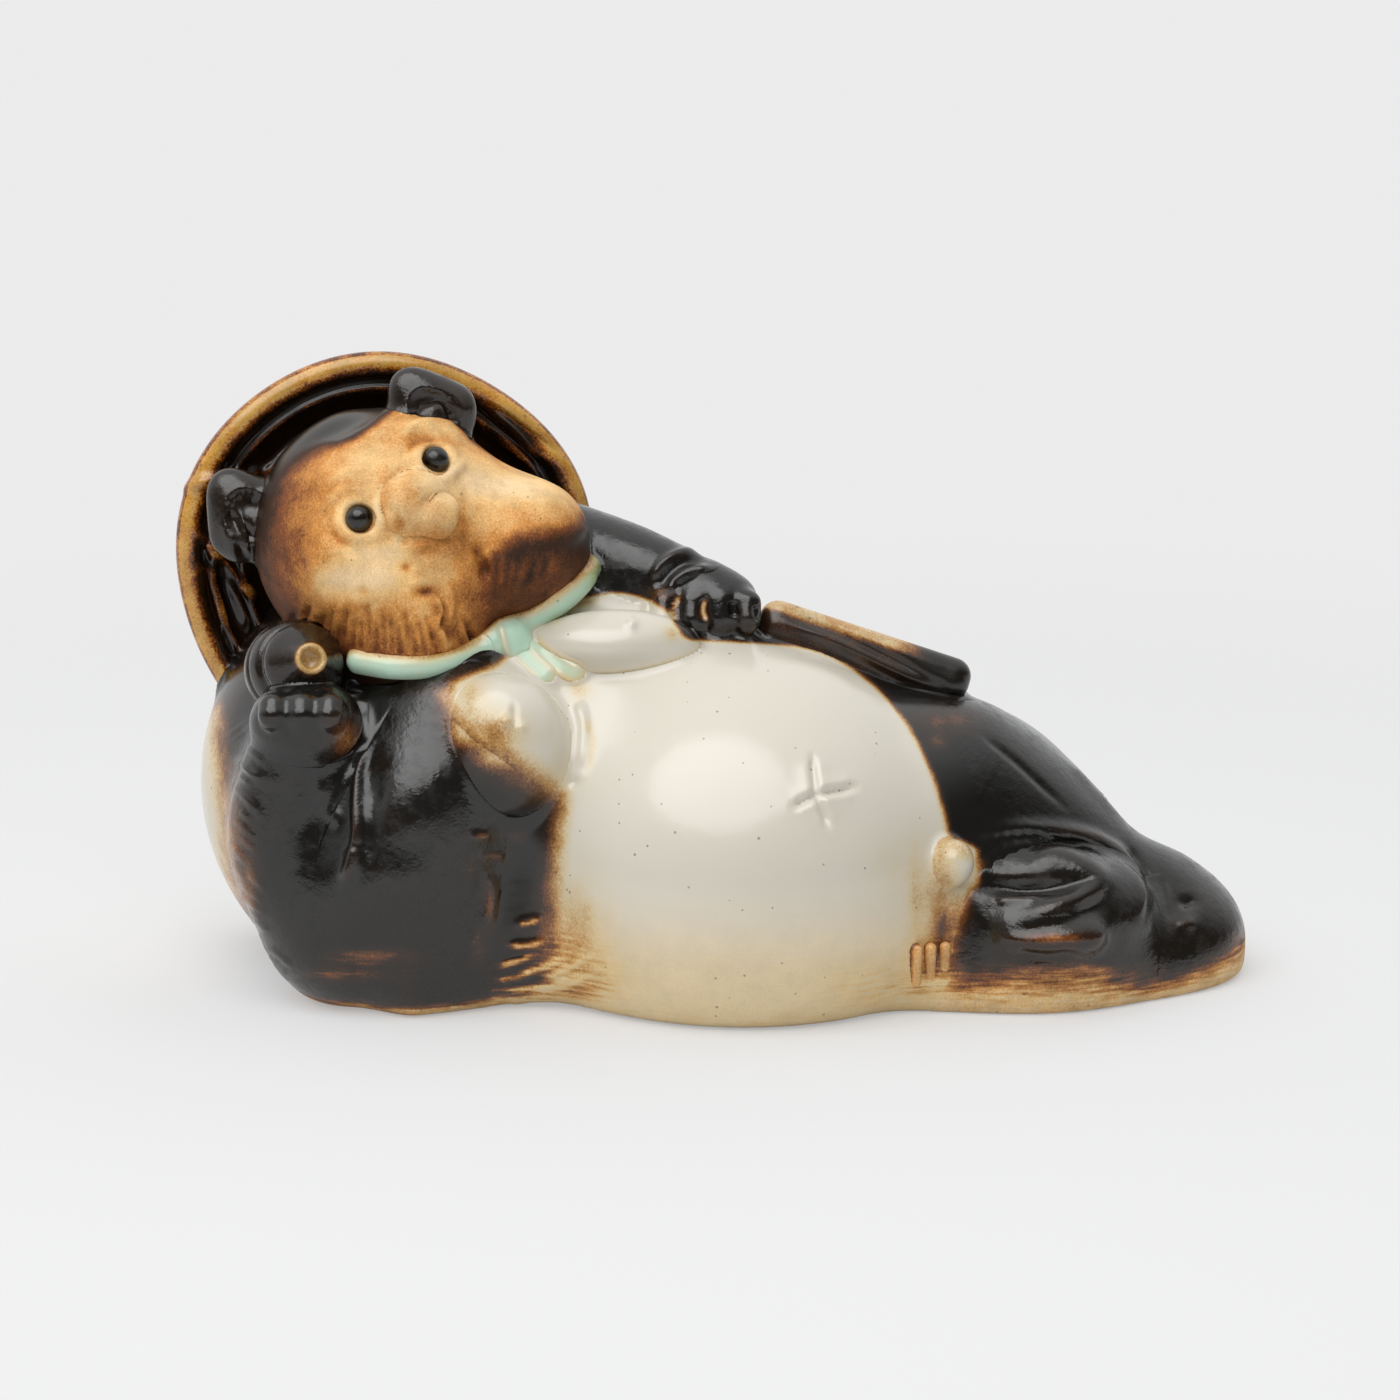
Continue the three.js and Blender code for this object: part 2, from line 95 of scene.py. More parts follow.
def ease(low: float | Array, high: float | Array, values: Array) -> Array:
    """A smooth step from 0 at low to 1 at high, which may be the smaller one."""
    share = clamp((values - low) / (high - low))
    return share * share * (3.0 - 2.0 * share)


def mound(distances: Array, width: float) -> Array:
    """A bell curve: 1 at no distance, falling off over a width."""
    return np.exp(-((distances / width) ** 2))


def bend(points: Array, steps: int, closed: bool = False) -> Array:
    """A smooth curve through points: cubic stretches, with slopes along the chords of their neighbours.

    Args:
        points: the points, one a row.
        steps: how many points the curve gets.
        closed: whether it runs back to its start.

    Returns:
        The points of the curve, one a row.
    """
    knots = np.asarray(points, float)
    before = knots[-1:] if closed else 2 * knots[:1] - knots[1:2]
    after = knots[:2] if closed else 2 * knots[-1:] - knots[-2:-1]
    run = np.concatenate([before, knots, after])
    spans = len(run) - 3
    place = np.linspace(0.0, spans, steps, endpoint=not closed)
    span = np.minimum(place.astype(int), spans - 1)
    t = (place - span)[:, None]
    a, b, c, d = (run[span + i] for i in range(4))
    return 0.5 * (2 * b + (c - a) * t + (2 * a - 5 * b + 4 * c - d) * t**2 + (3 * b - a - 3 * c + d) * t**3)


def evenly(curve: Array, steps: int) -> Array:
    """Points at even distances along a curve."""
    lengths = np.linalg.norm(np.diff(curve, axis=0), axis=1)
    run = np.concatenate([[0.0], np.cumsum(lengths)])
    place = np.linspace(0.0, run[-1], steps)
    return np.stack([np.interp(place, run, curve[:, i]) for i in range(curve.shape[1])], axis=1)


def along(points: Array, line: Array) -> tuple[Array, Array]:
    """Distance from points to a line of stretches, and the share of the line at the nearest place."""
    nearest = np.full(len(points), np.inf)
    place = np.zeros(len(points))
    for i, (start, end) in enumerate(zip(line[:-1], line[1:])):
        stretch = end - start
        share = clamp((points - start) @ stretch / max(stretch @ stretch, TINY))
        distance = np.linalg.norm(points - start - share[:, None] * stretch, axis=1)
        closer = distance < nearest
        nearest = np.where(closer, distance, nearest)
        place = np.where(closer, i + share, place)
    return nearest, place / (len(line) - 1)


# Fields: signed distances in millimetres, negative inside


@dataclass(frozen=True)
class Egg:
    """An egg shape: its centre, full sizes and axes as columns, and how far its lower half is drawn out."""

    centre: tuple[float, ...]
    size: tuple[float, ...]
    axes: Array | None = None
    drawn: float = 1.0

    def __call__(self, points: Array) -> Array:
        """Distance, close enough near the surface: the scaled length less one, over its slope."""
        away = points - np.asarray(self.centre)
        own = away if self.axes is None else away @ self.axes
        if self.drawn != 1.0:
            own[..., 2] = np.where(own[..., 2] < 0, own[..., 2] / self.drawn, own[..., 2])
        radii = np.asarray(self.size) / 2
        scaled = own / radii
        length = np.linalg.norm(scaled, axis=-1)
        slope = np.linalg.norm(scaled / radii, axis=-1)
        return length * (length - 1.0) / np.maximum(slope, TINY)


@dataclass(frozen=True)
class Melt:
    """Several fields melted into one over a width of flow."""

    parts: tuple[Field, ...]
    flow: float

    def __call__(self, points: Array) -> Array:
        """The smallest of the distances, lowered by a quarter of the flow where two are alike."""
        melted = self.parts[0](points)
        for part in self.parts[1:]:
            other = part(points)
            overlap = np.maximum(self.flow - np.abs(melted - other), 0.0) / self.flow
            melted = np.minimum(melted, other) - overlap**2 * self.flow / 4
        return melted


class Limb:
    """Round sections carried along a smooth curve, with a radius at each station."""

    def __init__(self, stations: Array, radii: tuple[float, ...], steps: int = 40) -> None:
        """Spread the stations evenly along their curve.

        Args:
            stations: points of the middle line.
            radii: the radius at each station.
            steps: points of the line that distances are measured to.
        """
        self.spine = evenly(bend(stations, 8 * steps), steps)
        self.radii = np.interp(np.linspace(0, 1, steps), np.linspace(0, 1, len(radii)), radii)

    def __call__(self, points: Array) -> Array:
        """The least distance to a stretch of the middle line, less the radius there."""
        nearest = np.full(points.shape[:-1], np.inf)
        for start, end, first, last in zip(self.spine[:-1], self.spine[1:], self.radii[:-1], self.radii[1:]):
            stretch = end - start
            share = clamp((points - start) @ stretch / max(stretch @ stretch, TINY))
            gap = np.linalg.norm(points - start - share[..., None] * stretch, axis=-1)
            nearest = np.minimum(nearest, gap - first - share * (last - first))
        return nearest


def reach(form: Field, origins: Array, rays: Array, far: float | Array, near: float | Array = 0.0) -> Array:
    """Distances along rays, from inside a form, at which its field passes zero, found by false position.

    Args:
        form: the field.
        origins: where the rays start.
        rays: their directions.
        far: distances outside the form.
        near: distances inside it.

    Returns:
        A distance for each ray.
    """
    near = np.broadcast_to(near, rays.shape[:-1])
    far = np.broadcast_to(far, rays.shape[:-1])
    below = np.minimum(form(origins + near[..., None] * rays), -TINY)
    above = np.maximum(form(origins + far[..., None] * rays), TINY)
    for _ in range(TRIES):
        share = np.clip(below / (below - above), 0.05, 0.95)
        middle = near + share * (far - near)
        value = form(origins + middle[..., None] * rays)
        inside = value < 0
        near, far = np.where(inside, middle, near), np.where(inside, far, middle)
        below, above = np.where(inside, value, below / 2), np.where(inside, above / 2, value)
    share = clamp(below / (below - above))
    return near + share * (far - near)


def ring_rays(spine: Array, up: tuple[float, ...], caps: int, turns: Array, axis: tuple = ()) -> Rays:
    """Rays out of a spine: rings across it, and half a ball of rings at each end.

    A ring's ray is cos(turn) of the side and sin(turn) of the top, leaning towards the ends in the two caps.

    Args:
        spine: points of the middle line, or the one middle of a ball.
        up: a direction that is never along the spine.
        caps: rings in each cap, the pole included.
        turns: angles around the spine.
        axis: the direction of a ball's poles, where the spine is one point.

    Returns:
        Origins and directions, each as rows, columns and coordinates.
    """
    tangents = unit(np.gradient(spine, axis=0)) if len(spine) > 1 else unit(np.array([axis], float))
    sides = unit(np.cross(tangents, np.asarray(up, float)))
    tops = np.cross(sides, tangents)
    rows = np.concatenate([np.zeros(caps - 1, int), np.arange(len(spine)), np.full(caps - 1, len(spine) - 1)])
    quarter = np.linspace(0.0, math.pi / 2, caps)
    lean = np.concatenate([-quarter[:0:-1], np.zeros(len(spine)), quarter[1:]])[:, None, None]
    across = np.cos(turns)[None, :, None] * sides[rows][:, None]
    ring = across + np.sin(turns)[None, :, None] * tops[rows][:, None]
    rays = np.cos(lean) * ring + np.sin(lean) * tangents[rows][:, None]
    return np.broadcast_to(spine[rows][:, None], rays.shape), rays


def full_turn(columns: int) -> Array:
    """Angles all the way round."""
    return np.linspace(0.0, 2 * math.pi, columns, endpoint=False)


def ball_rays(centre: Point, rows: int, columns: int, up: Point = UP, axis: Point = BACK) -> Rays:
    """Rays out of one middle, in rings about an axis."""
    return ring_rays(np.array([centre], float), up, rows, full_turn(columns), axis)


def limb_rays(limb: Limb, rows: int, caps: int, columns: int, up: Triple = BACK) -> Rays:
    """Rays out of the middle line of a limb."""
    return ring_rays(evenly(limb.spine, rows), up, caps, full_turn(columns))


def seat(form: Field, start: Point, ray: Point, lift: float, far: float = 120.0) -> Array:
    """A point on a form, straight out from a start inside it, moved out by a lift.

    Args:
        form: the field.
        start: where the way starts.
        ray: its direction.
        lift: how far past the surface it ends.
        far: a distance outside the form.

    Returns:
        The point.
    """
    origin, way = np.array([start], float), np.array([ray], float)
    return origin[0] + (reach(form, origin, way, far)[0] + lift) * way[0]


def seated(place: Callable[..., Array], stations: tuple[tuple[float, ...], ...]) -> Limb:
    """A limb through stations of a body, each with two coordinates, a lift and a radius."""
    points = np.array([place(*station) for *station, _ in stations])
    return Limb(points, tuple(radius for *_, radius in stations))


def turned(section: Array, middle: Point, axes: Array, turns: Array,
           wobble: float | Array = 1.0) -> tuple[Array, Array]:
    """A section turned about an axis.

    Args:
        section: radius and height of each of its points.
        middle: where the axis starts.
        axes: two directions across and the axis, as columns.
        turns: angles around the axis.
        wobble: a factor on the radius at each angle.

    Returns:
        The points and their outward directions, each as rows, columns and coordinates.
    """

    def around(pairs: Array, widths: float | Array) -> Array:
        radius = pairs[:, :1] * widths * np.ones(len(turns))
        height = np.broadcast_to(pairs[:, 1:], radius.shape)
        return np.stack([radius * np.cos(turns), radius * np.sin(turns), height], axis=-1) @ axes.T

    slope = np.gradient(section, axis=0)
    outward = unit(np.stack([slope[:, 1], -slope[:, 0]], axis=1))
    return around(section, wobble) + np.asarray(middle), around(outward, 1.0)


def grid_normals(grid: Array, outward: Array) -> Array:
    """Normals of a closed grid: the slope along it crossed with the slope around it, turned outward."""
    lengthwise = np.gradient(grid, axis=0)
    around = np.roll(grid, -1, axis=1) - np.roll(grid, 1, axis=1)
    normals = unit(np.cross(lengthwise, around))
    normals = np.where(np.sum(normals * outward, axis=-1, keepdims=True) < 0, -normals, normals)
    normals[0] = outward[0]
    normals[-1] = outward[-1]
    return normals


def softened(grid: Array, rounds: int) -> Array:
    """A closed grid of which each point was brought to the mean of its neighbours, some times over."""
    for _ in range(rounds):
        lengthwise = np.concatenate([grid[:1], (grid[:-2] + grid[2:]) / 2, grid[-1:]])
        around = (np.roll(grid, -1, axis=1) + np.roll(grid, 1, axis=1)) / 2
        grid = np.concatenate([grid[:1], ((lengthwise + around) / 2)[1:-1], grid[-1:]])
    return grid


def ridges(grid: Array, normals: Array, rounds: int) -> Array:
    """How far each point stands above the mean of the points around it."""
    return np.sum((grid - softened(grid, rounds)) * normals, axis=-1)


# The view, and what is drawn on the front in it


@dataclass(frozen=True)
class Viewpoint:
    """Where the figurine is seen from: straight on, a little from above."""

    elevation: float = math.radians(12.0)
    distance: float = 740.0
    opening: float = math.radians(20.0)
    aim: float = 48.8  # height
    pixels: float = 1400.0

    @property
    def focal(self) -> float:
        """Pixels at a distance of one focal length."""
        return self.pixels / 2 / math.tan(self.opening / 2)

    @property
    def pitch(self) -> float:
        """Millimetres in a pixel at the aim."""
        return self.distance / self.focal

    @property
    def toward(self) -> Array:
        """The direction from the figurine to the eye."""
        return np.array([0.0, -math.cos(self.elevation), math.sin(self.elevation)])

    def spots(self, points: Array) -> Array:
        """Where points are seen, in pixels."""
        height = points[..., 2] - self.aim
        depth = self.distance + points[..., 1] * math.cos(self.elevation) - height * math.sin(self.elevation)
        rise = points[..., 1] * math.sin(self.elevation) + height * math.cos(self.elevation)
        across = self.pixels / 2 + self.focal * points[..., 0] / depth
        down = self.pixels / 2 - self.focal * rise / depth
        return np.stack([across, down], axis=-1)

    def seen(self, normals: Array) -> Array:
        """How far normals face the eye, from 0 to 1."""
        return ease(-0.1, 0.25, normals @ self.toward)


VIEW = Viewpoint()
CURVE_STEPS = 6  # points of a drawn curve for each point of its route
AREA_STEPS = 4  # points of an outline for each of its corners
TAPER = 0.25  # share of a stroke over which it fades at each end
END_HEIGHT = 0.25  # share of its height that is left there


@dataclass(frozen=True)
class Stroke:
    """A ridge, or with a negative height a groove, drawn on the front: its route, half width and height."""

    route: Pixels
    width: float
    height: float

    def __call__(self, spots: Array) -> Array:
        """Heights at spots: a bell curve across the route that fades out at its two ends."""
        points = len(self.route)
        line = np.asarray(self.route, float) if points == 2 else bend(self.route, CURVE_STEPS * points)
        margin = 3 * self.width / VIEW.pitch
        near = np.all((spots > line.min(0) - margin) & (spots < line.max(0) + margin), axis=1)
        heights = np.zeros(len(spots))
        distance, share = along(spots[near], line)
        fade = ease(0.0, TAPER, share) * ease(1.0, 1.0 - TAPER, share)
        rise = END_HEIGHT + (1.0 - END_HEIGHT) * fade
        heights[near] = self.height * rise * mound(distance * VIEW.pitch, self.width)
        return heights


@dataclass(frozen=True)
class Dab:
    """A soft round rise, or dent, on the front: its middle, its half sizes in pixels and its height."""

    middle: Span
    size: Span
    height: float

    def __call__(self, spots: Array) -> Array:
        """Heights at spots: a bell curve over an ellipse."""
        return self.height * mound(np.linalg.norm((spots - self.middle) / np.asarray(self.size), axis=1), 1.0)


Mark = Stroke | Dab
Marks = tuple[Mark, ...]


def total(marks: Iterable[Mark], spots: Array) -> Array:
    """The heights of marks at spots, added up."""
    return sum(mark(spots) for mark in marks)


@dataclass(frozen=True)
class Region:
    """An area of the front: its corners, and at each of them the softness of its edge in millimetres."""

    corners: tuple[Triple, ...]

    def depth(self, spots: Array) -> tuple[Array, Array]:
        """How deep spots lie inside, in millimetres, and the softness of the nearest edge.

        Args:
            spots: places in the view.

        Returns:
            Depths, negative outside, and softnesses.
        """
        curve = bend(self.corners, AREA_STEPS * len(self.corners), closed=True)
        loop = np.concatenate([curve, curve[:1]])
        distance, share = along(spots, loop[:, :2])
        softness = np.interp(share, np.linspace(0.0, 1.0, len(loop)), loop[:, 2])
        inside = np.zeros(len(spots), bool)
        for (x0, y0, _), (x1, y1, _) in zip(loop[:-1], loop[1:]):
            crosses = (spots[:, 1] < y0) != (spots[:, 1] < y1)
            rise = y1 - y0 if abs(y1 - y0) > TINY else TINY
            inside ^= crosses & (spots[:, 0] < x0 + (spots[:, 1] - y0) / rise * (x1 - x0))
        return np.where(inside, distance, -distance) * VIEW.pitch, softness

    def share(self, spots: Array, start: float, full: float) -> Array:
        """A smooth step from 0 at a start depth to 1 at a full one, both in softnesses of the edge."""
        depth, softness = self.depth(spots)
        return ease(start * softness, full * softness, depth)


# Clay: the forms and the slip between them

OVERLAP = 0.2  # share of the flow from which a skin dips under its neighbour
SINK = 0.8  # how deep it dips at most
BASE_ROUND = 2.2  # flow of the rounded edge at the base
SEARCH = 16.0  # how far slip may move a skin along a ray
SPREADS = {  # how much wider the slip between two forms gets on the ground
    frozenset(("torso", "upper_arm")): 3.4,
    frozenset(("torso", "left_leg")): 1.4,
    frozenset(("torso", "right_leg")): 2.2,
    frozenset(("left_leg", "right_leg")): 1.4,
    frozenset(("left_leg", "left_foot")): 1.4,
    frozenset(("right_leg", "left_foot")): 1.4,
}
SPREAD_HEIGHTS = (30.0, 20.0)  # up to which it does so, at the arm and at the legs
SPREAD_START = -66.0  # from the head end, none up to here
SPREAD_FULL = -50.0


def slip(gap: Array, flow: float | Array) -> Array:
    """Slip on a skin at a gap from its neighbour: the roots of both distances add up to the root of the flow.

    Inside the neighbour's own slip the skin dips under it, gently at first.

    Args:
        gap: distances to the neighbour.
        flow: the width of the slip.

    Returns:
        Heights to add to the skin.
    """
    share = np.clip(gap / flow, OVERLAP, 1.0)
    dip = np.maximum(OVERLAP * flow - gap, 0.0)
    return flow * (1.0 - np.sqrt(share)) ** 2 - np.minimum(dip**2 / (OVERLAP * flow + dip), SINK)


def grounded(distance: Array, points: Array) -> Array:
    """A field cut flat at the ground, with a rounded edge."""
    below = -points[..., 2]
    overlap = np.maximum(BASE_ROUND - np.abs(distance - below), 0.0) / BASE_ROUND
    return np.maximum(distance, below) + overlap**2 * BASE_ROUND / 4


@dataclass
class Clay:
    """The forms by name, and the width of slip between each two that touch."""

    forms: dict[str, Field] = field(default_factory=dict)
    joints: dict[str, dict[str, float]] = field(default_factory=dict)

    def lute(self, first: str, second: str, flow: float) -> None:
        """Join two forms with slip."""
        self.joints.setdefault(first, {})[second] = flow
        self.joints.setdefault(second, {})[first] = flow

    def surface(self, name: str, origins: Array, rays: Array, farthest: float) -> Array:
        """Points along rays on a form: found without slip first, then with that of the pieces close by.

        Args:
            name: the form.
            origins: where the rays start, one a row.
            rays: their directions.
            farthest: a distance outside the form.

        Returns:
            A point for each ray.
        """
        own = self.forms[name]
        plain = reach(lambda points: grounded(own(points), points), origins, rays, farthest)
        points = origins + plain[:, None] * rays
        joints = self.joints.get(name, {})
        spreads = {other: SPREADS.get(frozenset((name, other)), 0.0) for other in joints}
        close = {other: np.nonzero(self.forms[other](points) < (1.0 + spreads[other]) * flow + SEARCH)[0]
                 for other, flow in joints.items()}

        def luted(points: Array) -> Array:
            distance = own(points)
            for other, rows in close.items():
                near = points[rows]
                x, _, z = near.T
                top = np.where(x < 0.0, *SPREAD_HEIGHTS)
                wider = spreads[other] * ease(top, 0.0, z) * ease(SPREAD_START, SPREAD_FULL, x)
                distance[rows] -= slip(self.forms[other](near), joints[other] * (1.0 + wider))
            return grounded(distance, points)

        distance = reach(luted, origins, rays, plain + SEARCH, np.maximum(plain - SEARCH, 0.0))
        return origins + distance[:, None] * rays

    def gap(self, name: str, points: Array) -> tuple[Array, Array]:
        """The least distance from points to the forms that a form is luted to, also in widths of slip."""
        joints = self.joints.get(name, {})
        if not joints:
            far = np.full(points.shape[:-1], np.inf)
            return far, far
        others = {other: self.forms[other](points) for other in joints}
        widths = [gap / joints[other] for other, gap in others.items()]
        return np.min(list(others.values()), axis=0), np.min(widths, axis=0)


@dataclass
class Coat:
    """Glaze on each point: iron from none to black, cream, green, and gloss."""

    iron: Array
    cream: Array
    green: Array
    gloss: Array

    @staticmethod
    def plain(skin: "Skin", iron: float = 0.0, cream: float = 0.0) -> "Coat":
        """The same glossy glaze all over a surface."""
        return Coat(*(np.full(len(skin.points), value) for value in (iron, cream, 0.0, 1.0)))


@dataclass
class Skin:
    """A finished surface: points and normals on a grid, and what its glaze is worked out from."""

    name: str
    grid: Array
    normals: Array
    gap: Array
    clear: Array
    ridge: Array

    @property
    def points(self) -> Array:
        """The points as a list."""
        return self.grid.reshape(-1, 3)

    @property
    def spots(self) -> Array:
        """Where the points are seen."""
        return VIEW.spots(self.points)

    @property
    def facing(self) -> Array:
        """How far each point faces the view, from 0 to 1."""
        return VIEW.seen(self.normals.reshape(-1, 3))


Relief = Callable[[Array, Array], Array]


def drawn(*marks: Mark) -> Relief:
    """Relief drawn on the front, on the points that face it."""

    def heights(points: Array, normals: Array) -> Array:
        return total(marks, VIEW.spots(points)) * VIEW.seen(normals)

    return heights


def pressed(clay: Clay, name: str, rays: Rays, farthest: float, reliefs: tuple[Relief, ...] = (),
            form: str = "", rounds: int = 8) -> Skin:
    """Press a form out along rays and model its relief.

    Args:
        clay: the forms.
        name: the piece.
        rays: origins and directions.
        farthest: a distance outside the form.
        reliefs: heights to add along the normals.
        form: the name of the piece's form, where it isn't the piece's own.
        rounds: of softening that ridges are measured against.

    Returns:
        The surface.
    """
    origins, directions = rays
    surface = clay.surface(form or name, origins.reshape(-1, 3), directions.reshape(-1, 3), farthest)
    grid = surface.reshape(directions.shape)
    normals = grid_normals(grid, directions)
    for relief in reliefs:
        heights = relief(grid.reshape(-1, 3), normals.reshape(-1, 3)).reshape(grid.shape[:2])
        grid = grid + heights[..., None] * normals
        grid[..., 2] = np.maximum(grid[..., 2], 0.0)
        normals = grid_normals(grid, directions)
    gap, clear = clay.gap(form or name, grid.reshape(-1, 3))
    return Skin(name, grid, normals, gap, clear, ridges(grid, normals, rounds).ravel())


# Glazing

CREAM_AREA = Region((
    (498, 664, 1.5), (520, 640, 1.0), (545, 614, 0.8), (575, 601, 0.6), (612, 593, 0.6), (642, 598, 0.6),
    (668, 613, 0.8), (684, 637, 0.8), (710, 641, 0.6), (770, 644, 0.6), (820, 652, 0.8), (862, 676, 0.9),
    (900, 715, 0.9), (928, 765, 1.0), (944, 815, 1.2), (950, 836, 1.0), (975, 848, 0.8), (979, 876, 1.0),
    (967, 896, 2.4), (957, 918, 3.0), (949, 950, 3.4), (948, 1000, 5.0), (952, 1100, 5.0), (540, 1100, 3.5),
    (552, 1010, 5.0), (560, 985, 6.0), (559, 940, 6.0), (556, 890, 4.4), (558, 840, 3.8), (564, 802, 3.4),
    (556, 790, 4.6), (532, 774, 6.0), (503, 752, 6.4), (474, 732, 6.0), (452, 708, 4.6), (452, 690, 2.8),
    (460, 680, 1.4),
))
FACE_AREA = Region((
    (300, 476, 3.8), (322, 457, 2.6), (345, 449, 1.6), (372, 433, 1.4), (395, 414, 1.2), (420, 410, 1.0),
    (445, 419, 1.0), (468, 440, 0.9), (492, 457, 0.9), (531, 473, 0.9), (560, 484, 1.0), (582, 502, 1.4),
    (575, 515, 3.0), (545, 522, 3.2), (515, 532, 2.6), (492, 548, 1.8), (478, 562, 1.8), (473, 594, 3.0),
    (466, 626, 3.2), (450, 650, 2.4), (410, 656, 2.6), (361, 642, 3.8), (322, 619, 4.8), (292, 592, 5.0),
    (285, 556, 5.2), (288, 510, 5.0),
))
LEFT_CREAM_AREA = Region((
    (140, 690, 1.0), (212, 700, 3.0), (219, 740, 3.5), (224, 776, 4.0), (228, 814, 4.0), (232, 858, 4.0),
    (236, 895, 3.5), (236, 925, 3.0), (228, 950, 2.0), (140, 960, 1.0),
))
SMEARS = (
    Dab((368, 957), (34, 8), 0.42), Dab((345, 975), (40, 6), 0.34), Dab((945, 720), (30, 12), 0.3),
    Dab((938, 742), (10, 8), 0.3), Dab((482, 836), (13, 5), 0.27), Dab((493, 857), (15, 5), 0.26),
    Dab((471, 869), (6, 6), 0.26), Dab((490, 902), (6, 28), 0.3), Dab((478, 946), (7, 14), 0.22),
    Dab((1053, 938), (36, 7), 0.45), Dab((440, 690), (26, 9), 0.25), Dab((462, 735), (14, 12), 0.3),
    Dab((490, 760), (22, 12), 0.3), Dab((1075, 972), (70, 8), 0.34), Dab((250, 900), (10, 60), 0.3),
    Dab((518, 838), (10, 6), 0.2), Dab((660, 594), (14, 8), 0.28),
)
HAZE = (
    Dab((938, 895), (20, 26), 0.26), Dab((946, 928), (14, 20), 0.6), Dab((937, 960), (20, 22), 0.56),
    Dab((895, 990), (60, 22), 0.16), Dab((572, 935), (30, 50), 0.26), Dab((566, 990), (46, 32), 0.26),
    Dab((494, 734), (26, 20), 0.42), Dab((470, 700), (16, 22), 0.2), Dab((915, 905), (6, 50), 0.14),
    Dab((900, 870), (30, 30), 0.06), Dab((580, 690), (10, 9), 0.2), Dab((672, 632), (8, 8), 0.2),
    Dab((560, 800), (10, 40), 0.14),
    Stroke(((546, 624), (570, 607), (602, 597)), 1.0, 0.26),
    Stroke(((584, 715), (592, 740), (588, 775)), 0.8, 0.16),
)
FUR_TICKS = (
    ((508, 946), (527, 946), (547, 941)), ((497, 967), (515, 962), (536, 954)),
    ((520, 973), (541, 968), (564, 959)), ((496, 981), (514, 978), (534, 972)),
    ((496, 990), (540, 988), (582, 974)), ((534, 993), (564, 987), (596, 973)),
    ((518, 925), (528, 923), (540, 919)), ((545, 977), (566, 970), (590, 956)),
    ((508, 1004), (530, 999), (558, 998)),
)
# Darker dabs on the face: painted shade under the brows, in its dents, creases and wrinkles, beside the nose
# and under it, with brown iron along the right cheek and the left edge.
FACE_IRON_AND_SHADE = (
    Dab((340, 488), (24, 9), 0.1), Dab((424, 442), (30, 8), 0.26), Dab((342, 536), (14, 10), 0.14),
    Dab((436, 546), (32, 9), 0.24), Dab((398, 524), (6, 10), 0.16), Dab((464, 524), (5, 22), 0.2),
    Dab((425, 592), (9, 5), 0.4), Dab((437, 614), (6, 16), 0.2), Dab((405, 567), (5, 4), 0.2),
    Dab((364, 590), (6, 6), 0.12), Dab((470, 580), (14, 40), 0.24), Dab((300, 565), (14, 26), 0.12),
    Dab((384, 480), (7, 22), 0.1), Dab((384, 520), (6, 14), 0.08), Dab((362, 608), (9, 5), 0.14),
    Dab((408, 492), (16, 18), 0.08), Dab((506, 541), (18, 9), 0.2), Dab((322, 545), (12, 10), 0.08),
    Dab((312, 494), (12, 14), 0.08), Dab((345, 612), (16, 8), 0.1),
)
# Paler dabs on the face: painted highlights on its raised cheeks, brows, lids and upper lip.
FACE_HIGHLIGHTS = (
    Dab((370, 578), (34, 20), 0.22), Dab((505, 486), (60, 15), 0.21), Dab((368, 458), (26, 18), 0.06),
    Dab((395, 552), (14, 12), 0.1), Dab((372, 552), (26, 10), 0.12), Dab((450, 430), (18, 9), 0.1),
    Dab((358, 519), (22, 20), 0.08), Dab((440, 462), (22, 20), 0.1), Dab((452, 646), (16, 6), 0.2),
    Dab((326, 580), (22, 16), 0.2), Dab((472, 472), (18, 12), 0.1), Dab((398, 540), (5, 8), 0.1),
)
NOSE_PAD = Dab((420, 502), (32, 34), 0.42)
FACE_LEFT = (350.0, 268.0)  # pixels across where the brown of the left cheek starts, and where it is full
CHIN = (575.0, 660.0)  # the same down to the chin's brown, and across from its right side
CHIN_SIDE = (490.0, 450.0)
JAW = (515.0, 575.0)  # the same for the thinner iron under the jaw, down and across
JAW_SIDE = (430.0, 480.0)
BARE = (  # places along the base, and the height up to which the glaze was wiped off there
    (-75.0, 2.0), (-45.0, 2.0), (-20.0, 2.6), (0.0, 3.6), (20.0, 3.6), (36.0, 3.2), (44.0, 4.2),
    (52.0, 6.8), (68.0, 7.2), (74.0, 5.0), (80.0, 3.0), (88.0, 3.4), (96.0, 5.5), (101.0, 7.0),
)
SEAM = 5.0  # where the back half of the body starts
HEAD_END = (-36.0, -58.0)  # where along the body the glaze of an end starts to differ, and does in full
FOOT_END = (22.0, 42.0)
BROWN_BASE = (-38.0, -60.0)
CLEAR = (0.3, 0.55)  # widths of slip from a joint, from which ridges show through the glaze


def in_joints(skin: Skin, coat: Coat, amount: float, width: float) -> Coat:
    """A coat with more iron in the joints of a small piece: amber glaze gathered there, and on the fur locks
    painted shade in the creases where they meet the body.
    """
    coat.iron = np.maximum(coat.iron, amount * mound(np.maximum(skin.gap, 0.0), width))
    return coat


def back_fade(x: Array, y: Array) -> Array:
    """How far iron has faded out towards the back, a little sooner at the head end and later at the feet."""
    head_end, foot_end = ease(*HEAD_END, x), ease(*FOOT_END, x)
    start = 10.0 - 2.0 * head_end + 40.0 * foot_end
    end = 28.0 - 8.0 * head_end + 40.0 * foot_end
    return ease(start, end, y)


